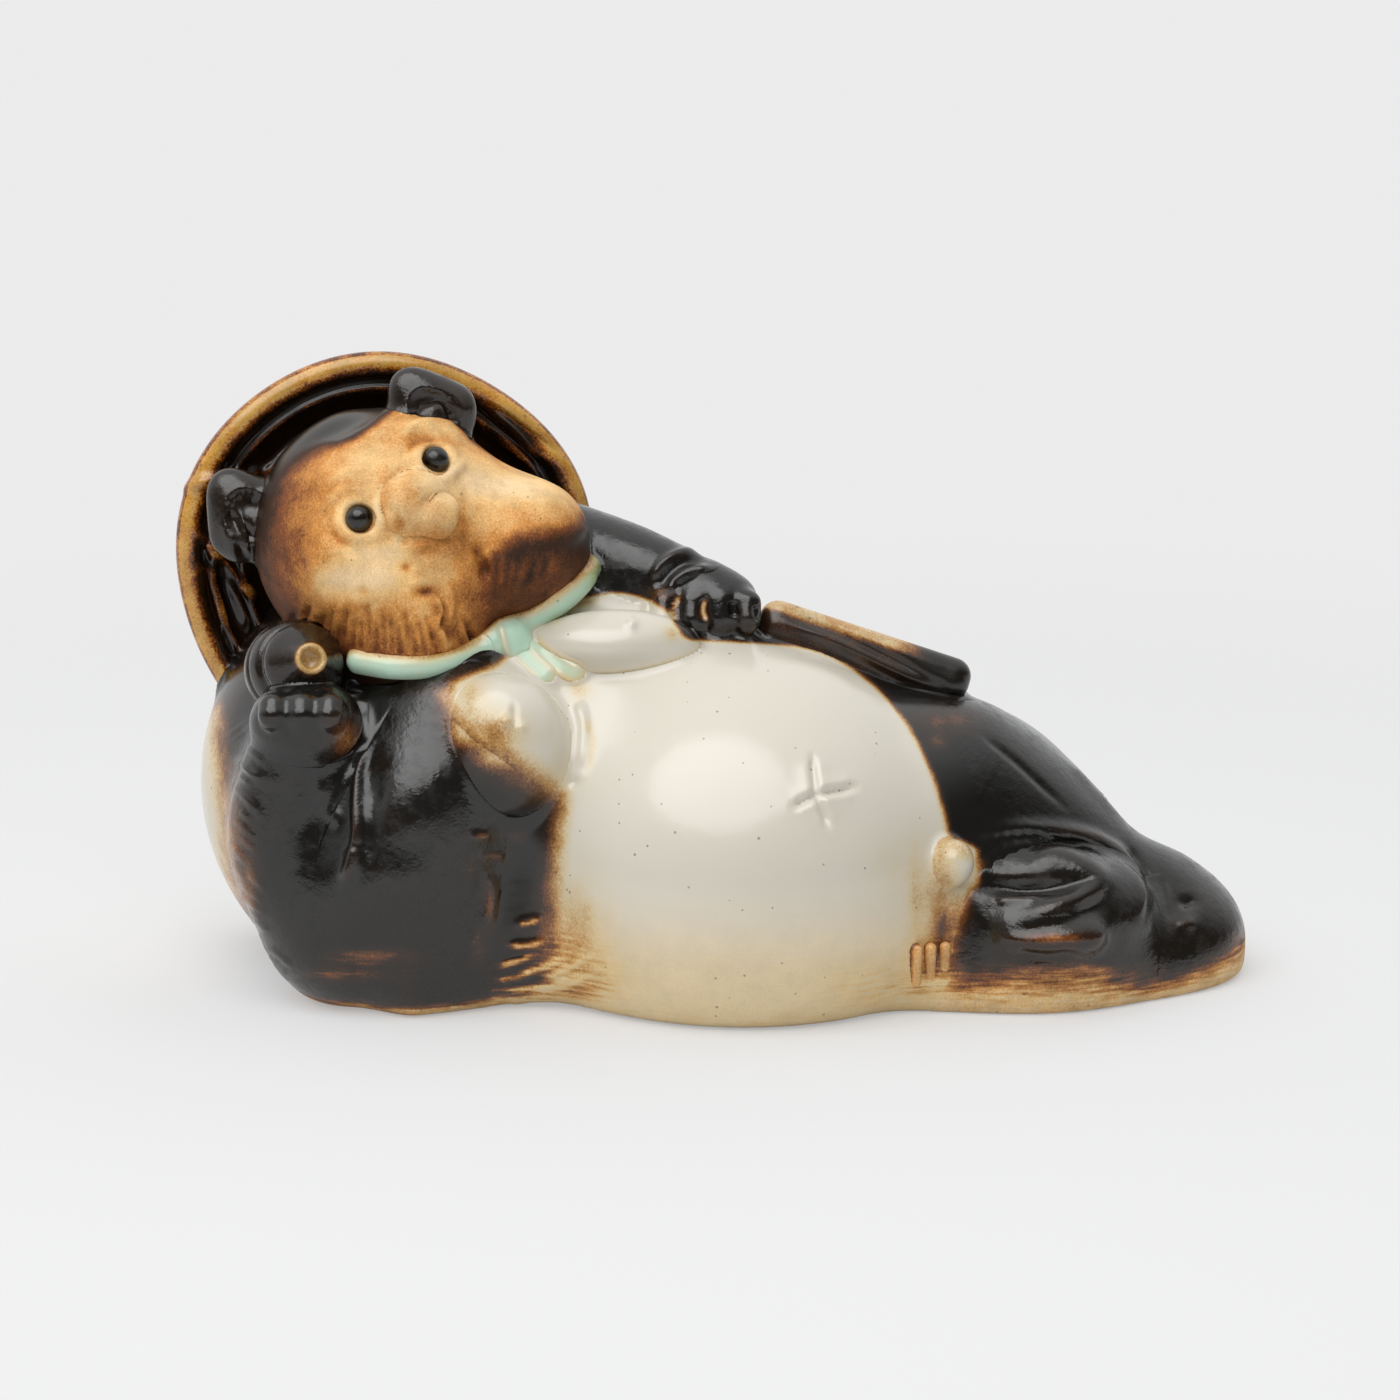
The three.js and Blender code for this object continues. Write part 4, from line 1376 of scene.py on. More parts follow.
    def eye_sockets(self, points: Array, normals: Array) -> Array:
        """A dent under each eye with a raised rim round it."""
        own = (points - np.asarray(self.centre)) @ self.axes
        heights = np.zeros(len(points))
        radius, width, height = self.lid
        for side in (-1.0, 1.0):
            middle = self.on_face(side * self.eye[0], self.eye[1], 0.0)
            away = np.hypot(own[:, 0] - middle[0], own[:, 2] - middle[2]) + 10.0 * (own[:, 1] > 0)
            heights += height * mound(away - radius, width)
            heights -= self.socket_depth * ease(self.socket, self.socket - 0.4, away)
        return heights

    def beard(self) -> list[Stroke]:
        """Grooves in the fur under the chin, which start at uneven heights and lean away from its middle."""
        grooves = []
        for i in range(self.beard_count):
            x = self.beard_start + self.beard_step * i
            top = self.beard_top + self.beard_wave * math.sin(2.4 * i) + 0.06 * (x - 380.0)
            lean = (x - self.beard_middle) * 0.1
            route = ((x, top), (x + lean, top + 18.0), (x + 2.0 * lean, top + 40.0))
            grooves.append(Stroke(route, 0.65, -0.7))
        return grooves

    def marks(self) -> Marks:
        """What is modelled on the face: brows, mouth, cheek dents, wrinkles, whiskers, fur and hairline."""
        brows = [
            Dab((335, 480), (30, 13), 1.1), Dab((430, 430), (34, 10), 0.8), Dab((378, 470), (12, 26), -0.7),
            Stroke(((326, 506), (338, 495), (356, 491), (374, 497)), 1.0, 0.6),
            Stroke(((398, 443), (414, 429), (438, 426), (463, 438)), 1.1, 0.9),
            Stroke(((404, 454), (418, 443), (440, 439), (458, 447)), 0.8, -0.7),
            Stroke(((446, 476), (458, 470), (464, 458)), 0.9, 0.6),
            Stroke(((332, 528), (338, 540), (350, 546)), 0.8, -0.7),
        ]
        bridge = [
            Stroke(((406, 464), (391, 482), (387, 510), (392, 538)), 1.0, -0.5),
            Stroke(((382, 478), (379, 505), (383, 532)), 1.2, 0.5),
            Stroke(((404, 552), (425, 545), (450, 547), (470, 540)), 1.2, 0.6),
            Stroke(((408, 541), (430, 537), (452, 536)), 1.0, -0.6),
        ]
        mouth = [
            Stroke(((476, 540), (479, 556), (484, 567), (488, 580)), 1.0, -1.6),
            Stroke(((468, 552), (470, 575), (468, 600)), 1.6, 0.5),
        ]
        dents = [
            Dab((372, 582), (30, 22), 0.9), Dab((427, 591), (8, 5), -0.9), Dab((408, 568), (5, 5), -0.4),
            Dab((363, 591), (5, 5), -0.4), Dab((364, 609), (8, 5), -0.3), Dab((416, 583), (6, 6), 0.3),
            Dab((325, 560), (22, 30), 0.5), Dab((530, 500), (34, 14), 0.7), Dab((315, 566), (6, 8), 0.5),
        ]
        wrinkles = [
            Stroke(((434, 596), (441, 610), (436, 628)), 0.7, 0.8),
            Stroke(((447, 582), (452, 604), (446, 622)), 0.8, 0.7),
            Stroke(((441, 600), (446, 614), (441, 630)), 0.6, -0.7),
            Stroke(((440, 628), (446, 640), (456, 646)), 0.8, 0.7),
            Stroke(((456, 606), (459, 622), (456, 636)), 0.7, -0.5),
        ]
        whiskers = [
            Stroke(((504, 553), (502, 570), (499, 588)), 0.8, 0.7),
            Stroke(((514, 556), (512, 572), (508, 590)), 0.8, 0.5),
            Stroke(((524, 560), (520, 576), (514, 594)), 0.8, 0.5),
            Stroke(((491, 560), (490, 572), (489, 586)), 0.7, 0.6),
            Stroke(((536, 560), (532, 574), (526, 588)), 0.8, -0.5),
            Stroke(((548, 556), (545, 568), (540, 580)), 0.8, -0.5),
        ]
        hairline = [
            Stroke(((200, 482), (236, 474), (262, 474), (300, 438), (345, 413), (378, 402)), 1.1, 1.0),
            Stroke(((282, 470), (312, 444), (350, 424), (384, 408)), 1.4, -0.6),
        ]
        return (*brows, *bridge, *mouth, *dents, *wrinkles, *whiskers, *self.beard(), *hairline, *self.pad)

    def masked(self, points: Array, normals: Array) -> Array:
        """The face as a mask: on its upper right the hair behind its edge lies deeper."""
        spots = VIEW.spots(points)
        depth, _ = FACE_AREA.depth(spots)
        across, down = spots.T
        level = down - self.mask_slope * (across - self.mask_middle)
        upper = ease(*self.mask_down, level) * ease(*self.mask_across, across)
        return -self.mask_depth * ease(*self.mask_edge, depth) * upper * VIEW.seen(normals)

    def ball(self, centre: Array, rows: int, columns: int) -> Rays:
        """Rays out of a middle, with poles at the front and back of the head."""
        return ball_rays(centre, rows, columns, tuple(self.axes[:, 2]), tuple(self.axes[:, 1]))

    def add_forms(self, clay: Clay) -> None:
        """Register the forms of the head."""
        clay.forms["head"] = self.form
        clay.forms["muzzle"] = self.sprig(self.muzzle)
        clay.forms["nose"] = self.sprig(self.nose)
        clay.forms["right_eye"] = self.sprig(self.eye, -1.0)
        clay.forms["left_eye"] = self.sprig(self.eye)
        clay.forms["right_ear"] = self.cupped(self.right_ear)
        clay.forms["left_ear"] = self.cupped(self.left_ear)

    def build(self, clay: Clay, dresser: Dresser) -> None:
        """Make the head and what sits on it."""
        rays = self.ball(self.world(self.heart), self.rows, self.columns)
        skin = pressed(clay, "head", rays, 60.0, (self.masked, drawn(*self.marks()), self.eye_sockets))
        dresser.dress(Slot.BUFF, (skin, face_coat(skin)))
        for name in ("muzzle", "nose"):
            rays = self.ball(clay.forms[name].centre, self.small_rows, self.small_columns)
            skin = pressed(clay, name, rays, 25.0, (drawn(*self.pad),))
            dresser.dress(Slot.BUFF, (skin, face_coat(skin)))
        for name in ("right_eye", "left_eye"):
            rays = self.ball(clay.forms[name].centre, self.small_rows, self.small_columns)
            skin = pressed(clay, name, rays, 25.0)
            dresser.dress(Slot.BLACK, (skin, Coat.plain(skin, iron=1.0)))
        for name, (x, y, z) in (("right_ear", self.right_ear), ("left_ear", self.left_ear)):
            rays = self.ball(self.world((x, y + self.ear_heart, z)), self.ear_rows, self.small_columns)
            skin = pressed(clay, name, rays, 25.0, (drawn(*self.lobes),))
            dresser.dress(Slot.BLACK, (skin, Coat.plain(skin, iron=0.96)))


@dataclass
class Hat:
    """The straw hat behind the head: a dish with a rolled rim and ridges inside."""

    centre: Triple = (-59.0, 8.0, 74.0)
    turn: float = math.radians(10.0)
    radius: float = 39.0
    depth: float = 10.0
    wall: float = 4.5
    rim: float = 2.5
    rings: int = 3
    ring_first: float = 21.0
    ring_step: float = 5.5
    ring_height: float = 1.3
    ring_width: float = 0.9
    inner_iron: float = 0.77
    outer_iron: float = 0.3
    outer_cream: float = 0.4
    more_iron: float = 0.16  # everywhere, after the ridges have thinned it
    cream_high: Span = (70.0, 40.0)  # heights where the cream starts, and where it is full
    crown_start: float = 2.6  # in steps of the section
    gloss: float = 0.9
    steps: int = 60
    columns: int = 420

    @property
    def axes(self) -> Array:
        """Side, up and the way the hat's crown points, as columns."""
        c, s = math.cos(self.turn), math.sin(self.turn)
        return np.array([[c, 0.0, -s], [s, 0.0, c], [0.0, 1.0, 0.0]])

    def bowl(self, radius: Array) -> Array:
        """The inside: a round dish."""
        inner = self.radius - 2 * self.rim
        return self.depth * (1.0 - (radius / inner) ** 2)

    def outline(self) -> Array:
        """The section, from the middle of the inside over the rim to the crown, as radius and height."""
        middle = self.radius - self.rim
        inner = middle - self.rim
        inside = np.linspace(0.0, inner, 2 * self.steps)
        rise = self.bowl(inside)
        for i in range(self.rings):
            ring = self.ring_first + i * self.ring_step
            rise = rise - self.ring_height * mound(inside - ring, self.ring_width)
        angle = np.linspace(math.pi, 2.25 * math.pi, self.steps)[1:]
        rim = np.stack([middle + self.rim * np.cos(angle), self.rim * np.sin(angle)], axis=1)
        outside = np.linspace(inner * 0.92, 0.0, self.steps)
        crown = np.stack([outside, self.bowl(outside) + self.wall], axis=1)
        return np.concatenate([np.stack([inside, rise], axis=1), rim, crown])

    def form(self, points: Array) -> Array:
        """Distance from the dish: to its middle surface, less half the wall."""
        own = (points - np.asarray(self.centre)) @ self.axes
        radius = np.hypot(own[..., 0], own[..., 1])
        middle = self.radius - self.rim
        rim = np.hypot(radius - middle, own[..., 2]) - self.rim
        dish = np.abs(own[..., 2] - self.bowl(np.minimum(radius, middle)) - self.wall / 2) - self.wall / 2
        return np.minimum(rim, np.where(radius < middle, dish, rim))

    def marks(self) -> Marks:
        """Locks of hair and folds inside the brim, below the right ear and above the left cheek."""
        return (
            Stroke(((186, 488), (212, 479), (240, 475), (268, 470)), 1.0, 1.4),
            Stroke(((194, 528), (214, 552), (236, 578), (262, 604)), 0.9, 1.2),
            Stroke(((203, 556), (214, 590), (226, 640)), 1.3, 0.9),
            Stroke(((214, 566), (228, 600), (240, 640)), 1.1, -0.8),
            Stroke(((226, 690), (238, 664), (262, 636)), 1.4, 1.2),
            Stroke(((222, 575), (238, 600), (250, 628)), 0.9, 0.8),
            Stroke(((480, 408), (515, 436), (552, 462)), 0.8, 0.9),
            Stroke(((490, 404), (525, 430), (560, 452)), 0.8, -0.7),
            Stroke(((474, 420), (500, 442), (540, 468)), 0.8, 0.5),
        )

    def build(self, clay: Clay, dresser: Dresser) -> None:
        """Make the hat: its section turned about its axis, uneven as pressed by hand."""
        outline = self.outline()
        turns = full_turn(self.columns)
        wobble = 1.0 + 0.012 * np.sin(3.0 * turns + 1.0) + 0.008 * np.sin(5.0 * turns)
        grid, facing = turned(outline, self.centre, self.axes, turns, wobble)
        grid[..., 2] = np.maximum(grid[..., 2], 0.0)
        normals = grid_normals(grid, facing)
        heights = drawn(*self.marks())(grid.reshape(-1, 3), normals.reshape(-1, 3)).reshape(grid.shape[:2])
        grid = grid + heights[..., None] * normals
        skin = Skin("hat", grid, grid_normals(grid, facing), *clay.gap("hat", grid.reshape(-1, 3)),
                    ridges(grid, facing, 8).ravel())
        dresser.dress(Slot.AMBER, (skin, self.coat(skin, outline)))

    def coat(self, skin: Skin, outline: Array) -> Coat:
        """Amber on the rim, near black inside it, amber to cream outside."""
        rows = len(outline)
        inside = np.arange(rows) < 2 * self.steps
        middle = self.radius - self.rim
        beyond = outline[:, 0] - (middle - self.rim)
        rim_iron = self.inner_iron * ease(1.3 * self.rim, 0.2 * self.rim, beyond)
        outer = np.arange(rows) > self.crown_start * self.steps
        iron_row = np.where(outer, self.outer_iron, np.where(inside, self.inner_iron, rim_iron))
        shape = skin.grid.shape[:2]
        iron = np.broadcast_to(iron_row[:, None], shape).ravel()
        iron = clamp(iron - 0.9 * np.clip(skin.ridge, 0.0, 0.6) * (iron > 0.4))
        cream = np.broadcast_to(np.where(outer, self.outer_cream, 0.0)[:, None], shape).ravel()
        cream = cream * ease(*self.cream_high, skin.points[:, 2])
        iron = clamp(iron + self.more_iron)
        return Coat(iron, cream, np.zeros(len(iron)), np.full(len(iron), self.gloss))


@dataclass
class Arms:
    """Both arms with their paws, the flask and the ledger."""

    right_upper: tuple = ((-43, 48, -7, 13), (-53, 29, -4, 16), (-60, 15, -4, 16.5))
    right_fore: tuple = ((-63, 15, -4, 15.5), (-73, 29, 1, 11.5), (-72, 43, 4, 9.5))
    left: tuple = ((-28, 4, 0, 11), (-13, -3, 2, 9), (-1, -9, 4, 6.5))
    right_paw: tuple = (-69.8, 52.5, 9.0, (20.0, 18.0, 16.0))
    right_fingers: tuple = (3, 5.0, 2.6, 4.2, 1.2, 1.2)
    left_paw: tuple = (3.0, -11.0, 4.0, (15.0, 14.0, 12.0))
    left_fingers: tuple = (4, 5.0, 2.5, 0.4, 1.2, 2.4)
    left_lean: float = -1.9  # of the fingers from the middle of the paw
    finger_flow: float = 1.6
    finger_gaps: tuple[Pixels, ...] = (
        ((681, 594), (674, 608), (676, 622)), ((706, 597), (703, 610), (707, 622)), ((732, 600), (735, 618)),
        ((755, 604), (760, 624)),
    )
    flask: Triple = (-72.0, 61.0, 9.0)
    flask_aim: Triple = (0.3, -0.88, 0.3)
    flask_outline: tuple = ((5.2, -11.5), (8.4, -6.0), (8.6, 0.0), (7.2, 4.0), (6.8, 7.0), (3.0, 11.5))
    flask_lip: tuple = ((2.7, 12.0), (2.3, 12.2), (1.9, 11.9), (1.7, 11.0), (1.5, 10.2), (0.7, 9.8))
    flask_grooves: tuple[float, ...] = (-1.5, 3.0)
    ledger_ends: tuple = ((10.5, -7.0, 1.5), (49.0, -7.0, 3.5))
    ledger_width: float = 13.0
    ledger_thick: float = 8.0
    ledger_round: float = 3.4
    ledger_roll: float = math.radians(-24.0)
    ledger_core: float = 11.0  # half the length of the line that its rays start from
    cover_high: Span = (0.4, 1.8)  # heights where its cover starts, and is full
    cover_end: Span = (0.82, 0.62)  # shares of its length for the cover, and for its dark end
    dark_end: Span = (0.55, 0.85)
    upper_grid: Grid = (110, 50, 220)
    fore_grid: Grid = (90, 46, 190)
    left_grid: Grid = (90, 40, 180)
    ledger_grid: Grid = (80, 40, 150)
    paw_grid: tuple[int, int] = (60, 220)
    flask_columns: int = 120
    limb_up: Triple = (0.0, 1.0, 0.2)
    palm_rub: Dab = Dab((348, 740), (18, 22), 0.5)
    brush_rows: Triple = (720.0, 985.0, 9.0)  # first, last and step, in pixels down
    brush_seed: int = 5
    brush_start: float = 232.0  # pixels across
    brush_shift: Span = (-8.0, 14.0)  # least and most, as the next two
    brush_run: Span = (10.0, 24.0)
    brush_height: Span = (0.15, 0.4)

    def place(self, torso: Torso) -> None:
        """Seat the arms, the flask and the ledger on the body."""
        self.upper = seated(torso.front, self.right_upper)
        self.fore = seated(torso.front, self.right_fore)
        self.left_limb = seated(torso.top, self.left)
        self.right_palm = torso.front(*self.right_paw[:3])
        self.left_palm = torso.top(*self.left_paw[:3])
        self.flask_middle = torso.front(*self.flask)
        self.ledger_start, self.ledger_end = (torso.top(*end) for end in self.ledger_ends)

    def paw(self, palm: Array, size: tuple[float, ...], fingers: tuple, lean: float = 0.0) -> Field:
        """A paw: an egg shape with fingers that curl over its front."""
        count, spread, radius, rise, forward, drop = fingers
        parts: list[Field] = [Egg(tuple(palm), size)]
        for i in range(count):
            knuckle = palm + np.array([lean + (i - (count - 1) / 2) * spread, radius - size[1] / 2, rise])
            tip = knuckle + np.array([0.0, -forward, -drop])
            parts.append(Limb(np.array([knuckle, tip]), (radius, radius), 3))
        return Melt(tuple(parts), self.finger_flow)

    def flask_axes(self) -> Array:
        """Two directions across the flask and its axis, as columns."""
        axis = unit(np.array(self.flask_aim))
        side = unit(np.cross(axis, UP))
        return np.stack([side, np.cross(side, axis), axis], axis=1)

    def flask_form(self, points: Array) -> Array:
        """Distance from the flask: from its axis, less the radius at that height."""
        own = (points - self.flask_middle) @ self.flask_axes()
        height = own[..., 2]
        outline = bend(self.flask_outline, 60)
        radius = np.interp(height, outline[:, 1], outline[:, 0])
        ends = np.abs(height) - outline[-1, 1]
        return np.maximum(np.linalg.norm(own[..., :2], axis=-1) - radius, ends)

    def ledger_frame(self) -> tuple[Array, Array]:
        """The ledger's middle, and its long, deep and thick directions as columns."""
        long = unit(self.ledger_end - self.ledger_start)
        level = np.array([0.0, 1.0, 0.0])
        deep = math.cos(self.ledger_roll) * level + math.sin(self.ledger_roll) * np.cross(long, level)
        return (self.ledger_start + self.ledger_end) / 2, np.stack([long, deep, np.cross(long, deep)], axis=1)

    def ledger_form(self, points: Array) -> Array:
        """Distance from a rounded box."""
        middle, axes = self.ledger_frame()
        length = np.linalg.norm(self.ledger_end - self.ledger_start)
        own = np.abs((points - middle) @ axes)
        over = own - np.array([length, self.ledger_width, self.ledger_thick]) / 2 + self.ledger_round
        outside = np.linalg.norm(np.maximum(over, 0.0), axis=-1)
        return outside + np.minimum(np.max(over, axis=-1), 0.0) - self.ledger_round

    def add_forms(self, clay: Clay) -> None:
        """Register the forms of the arms."""
        clay.forms["upper_arm"] = self.upper
        clay.forms["forearm"] = self.fore
        clay.forms["right_paw"] = self.paw(self.right_palm, self.right_paw[3], self.right_fingers)
        clay.forms["flask"] = self.flask_form
        clay.forms["left_arm"] = self.left_limb
        clay.forms["left_paw"] = self.paw(self.left_palm, self.left_paw[3], self.left_fingers, self.left_lean)
        clay.forms["ledger"] = self.ledger_form

    def marks(self) -> Marks:
        """Folds of the right arm with the pocket in its elbow, its edge on the body, and the left wrist."""
        fold = (
            Stroke(((372, 742), (360, 768), (357, 800), (357, 830), (354, 850)), 0.8, 1.2),
            Stroke(((355, 845), (351, 864), (345, 883)), 1.3, 1.1),
            Stroke(((374, 768), (371, 820), (366, 872)), 2.2, -0.9),
            Dab((314, 818), (22, 36), -1.4), Dab((302, 790), (10, 8), -0.5),
            Dab((321, 795), (8, 12), 0.7), Dab((333, 816), (8, 10), 0.7),
            Dab((425, 782), (36, 34), 0.8), Dab((408, 852), (36, 24), -0.7),
        )
        edge = (
            Stroke(((484, 872), (492, 890), (490, 912), (486, 930)), 1.3, 0.5),
            Stroke(((470, 838), (492, 836)), 1.0, 0.4), Stroke(((478, 857), (506, 856)), 1.0, 0.4),
        )
        chance = np.random.default_rng(self.brush_seed)
        brushed = []
        for y in np.arange(*self.brush_rows):
            x = self.brush_start + 0.0011 * max(y - 800.0, 0.0) ** 2 + chance.uniform(*self.brush_shift)
            run = chance.uniform(*self.brush_run)
            route = ((x, y), (x + run, y + 0.9 * run))
            brushed.append(Stroke(route, 0.6, chance.uniform(*self.brush_height)))
        wrist = (
            Stroke(((652, 584), (660, 566), (678, 554), (700, 552)), 0.9, 0.8),
            Stroke(((660, 590), (668, 574), (686, 562), (708, 560)), 0.9, -0.7),
            Stroke(((667, 594), (676, 580), (694, 570), (715, 570)), 0.9, 0.8),
            Stroke(((676, 596), (684, 586), (700, 578), (720, 578)), 0.9, -0.6),
        )
        return (*fold, *edge, *brushed, *wrist)

    def build_right(self, clay: Clay, dresser: Dresser, relief: Relief) -> None:
        """Make the right arm, bent at the elbow, its paw and the flask."""
        coated = []
        for form, grid in (("upper_arm", self.upper_grid), ("forearm", self.fore_grid)):
            rays = limb_rays(clay.forms[form], *grid, self.limb_up)
            skin = pressed(clay, "right_arm", rays, 60.0, (relief,), form)
            coated.append((skin, body_coat(skin)))
        dresser.dress(Slot.BLACK, *coated)
        skin = pressed(clay, "right_paw", ball_rays(self.right_palm, *self.paw_grid), 30.0)
        coat = body_coat(skin)
        coat.iron = clamp(coat.iron - self.palm_rub(skin.spots))
        dresser.dress(Slot.BLACK, (skin, coat))
        self.build_flask(clay, dresser)

    def build_flask(self, clay: Clay, dresser: Dresser) -> None:
        """Make the flask: its section, with grooves and a bored mouth, turned about its axis."""
        outline = bend(self.flask_outline, 120)
        for groove in self.flask_grooves:
            outline[:, 0] -= 0.7 * mound(outline[:, 1] - groove, 0.6)
        foot = np.array([[0.0, outline[0, 1]], [outline[0, 0] * 0.6, outline[0, 1]]])
        lip = bend(np.array([outline[-1], *self.flask_lip]), 40)[1:]
        section = np.concatenate([foot, outline, lip, [[0.0, lip[-1, 1]]]])
        grid, outward = turned(section, self.flask_middle, self.flask_axes(), full_turn(self.flask_columns))
        normals = grid_normals(grid, outward)
        gaps = clay.gap("flask", grid.reshape(-1, 3))
        skin = Skin("flask", grid, normals, *gaps, ridges(grid, normals, 6).ravel())
        lip_row = len(foot) + len(outline)
        mouth = np.repeat(ease(lip_row - 6.0, lip_row + 8.0, np.arange(len(section))), self.flask_columns)
        coat = Coat.plain(skin, iron=0.98)
        coat.iron = clamp(coat.iron - 0.4 * np.clip(skin.ridge, 0.0, 0.6) - 0.68 * mouth)
        coat.cream = 0.5 * mouth
        coat.green = 0.2 * mouth
        dresser.dress(Slot.BLACK, (skin, coat))

    def build_left(self, clay: Clay, dresser: Dresser, relief: Relief) -> None:
        """Make the left arm, its paw and the ledger."""
        rays = limb_rays(self.left_limb, *self.left_grid, self.limb_up)
        skin = pressed(clay, "left_arm", rays, 40.0, (relief,))
        dresser.dress(Slot.BLACK, (skin, body_coat(skin)))
        grooves = [Stroke(route, 0.8, -0.7) for route in self.finger_gaps]
        skin = pressed(clay, "left_paw", ball_rays(self.left_palm, *self.paw_grid), 25.0, (drawn(*grooves),))
        coat = body_coat(skin)
        gaps = total((Stroke(route, 0.6, 0.8) for route in self.finger_gaps[:2]), skin.spots)
        coat.iron = clamp(coat.iron - gaps * skin.facing)
        dresser.dress(Slot.BLACK, (skin, coat))
        self.build_ledger(clay, dresser)

    def build_ledger(self, clay: Clay, dresser: Dresser) -> None:
        """Make the ledger: a rounded book with a cream cover edge, brown pages and a dark end."""
        middle, axes = self.ledger_frame()
        rows, caps, columns = self.ledger_grid
        spine = middle + np.linspace(-self.ledger_core, self.ledger_core, rows)[:, None] * axes[:, 0]
        rays = ring_rays(spine, tuple(axes[:, 1]), caps, full_turn(columns))
        pages = (
            Stroke(((778, 612), (830, 628), (880, 652), (940, 684)), 1.1, -0.8),
            Stroke(((786, 622), (838, 642), (890, 668), (938, 690)), 0.8, 0.3),
        )
        skin = pressed(clay, "ledger", rays, 40.0, (drawn(*pages),))
        own = (skin.points - middle) @ axes
        share = own[:, 0] / np.linalg.norm(self.ledger_end - self.ledger_start) + 0.5
        height = own[:, 2]
        cover = ease(*self.cover_high, height) * ease(*self.cover_end, share)
        iron = 0.8 + 0.19 * ease(*self.dark_end, share) - 0.55 * cover
        cream = 0.6 * cover
        coat = Coat(clamp(iron), cream, np.zeros(len(iron)), np.full(len(iron), 0.75))
        dresser.dress(Slot.BROWN, (skin, coat))


@dataclass
class Legs:
    """Both legs and feet."""

    left: tuple = ((46.0, -14.0, -16.0, 17.0), (63.0, -13.0, -18.0, 14.5))
    left_end: Triple = (80.0, -10.0, 11.5)
    left_end_radius: float = 12.0
    left_foot: Egg = Egg((83.5, -9.0, 6.5), (35.0, 40.0, 28.0), drawn=2.0)
    right_leg: Egg = Egg((60.0, -26.0, 14.0), (44.0, 34.0, 30.0), drawn=2.8)
    sole: tuple = (62.5, 14.6, -0.6, (18.0, 8.0, 7.0))
    left_grid: Grid = (90, 40, 220)
    grids: tuple = (("left_foot", 60, 240), ("right_leg", 70, 260), ("right_foot", 44, 150))
    thigh: tuple[Stroke, ...] = (
        Stroke(((982, 734), (1020, 765), (1066, 808)), 0.7, -0.5),
        Stroke(((1068, 762), (1090, 785), (1123, 821)), 0.8, 0.5),
        Stroke(((985, 833), (1030, 828), (1085, 835), (1125, 858), (1142, 888), (1140, 925)), 1.4, 1.0),
    )

    def add_forms(self, clay: Clay, torso: Torso) -> None:
        """Register the forms of the legs."""
        stations = [torso.top(*place) for *place, _ in self.left]
        radii = [radius for *_, radius in self.left]
        self.left_limb = Limb(np.array([*stations, self.left_end]), (*radii, self.left_end_radius))
        clay.forms["left_leg"] = self.left_limb
        clay.forms["left_foot"] = self.left_foot
        clay.forms["right_leg"] = self.right_leg
        x, z, lift, size = self.sole
        middle = seat(self.right_leg, (x, self.right_leg.centre[1], z), FRONT, lift, far=60.0)
        clay.forms["right_foot"] = Egg(tuple(middle), size)

    def marks(self) -> Marks:
        """Folds of the crossed legs, the hollow of the bent knee, and the dents of the toes."""
        bent = ((1026, 857), (1046, 857), (1072, 864), (1096, 881), (1076, 900), (1046, 911), (1010, 918))
        knee = (
            Stroke(((1000, 840), (1040, 836), (1085, 843), (1112, 858)), 0.9, -0.5),
            Stroke(((1018, 847), (1050, 838), (1080, 839), (1102, 851)), 0.8, 0.5),
            Stroke(((1034, 847), (1058, 843), (1088, 847)), 0.7, -0.9),
            Stroke(bent, 2.6, 1.7),
            Dab((1030, 886), (42, 9), -2.4),
            Stroke(((993, 900), (1018, 898), (1044, 893)), 1.2, 0.6),
            Stroke(((1000, 931), (1040, 927), (1078, 916), (1108, 893)), 1.6, -0.6),
            Stroke(((1012, 953), (1045, 959), (1088, 955)), 1.4, -0.9),
            Dab((1066, 967), (10, 5), 0.6),
        )
        foot = (
            Stroke(((1126, 846), (1142, 868), (1152, 893)), 1.0, -0.7),
            Stroke(((1158, 868), (1168, 900), (1172, 925)), 1.0, -0.4),
            Dab((1170, 872), (16, 20), 0.5), Dab((1188, 902), (9, 6), -0.9), Dab((1187, 924), (10, 8), 0.8),
        )
        return (*self.thigh, *knee, *foot)

    def build(self, clay: Clay, dresser: Dresser, relief: Relief) -> None:
        """Make the legs and feet."""
        skins = [pressed(clay, "left_leg", limb_rays(self.left_limb, *self.left_grid), 50.0, (relief,))]
        for name, rows, columns in self.grids:
            rays = ball_rays(clay.forms[name].centre, rows, columns)
            skins.append(pressed(clay, name, rays, 50.0, (relief,)))
        for skin in skins:
            dresser.dress(Slot.BLACK, (skin, body_coat(skin)))


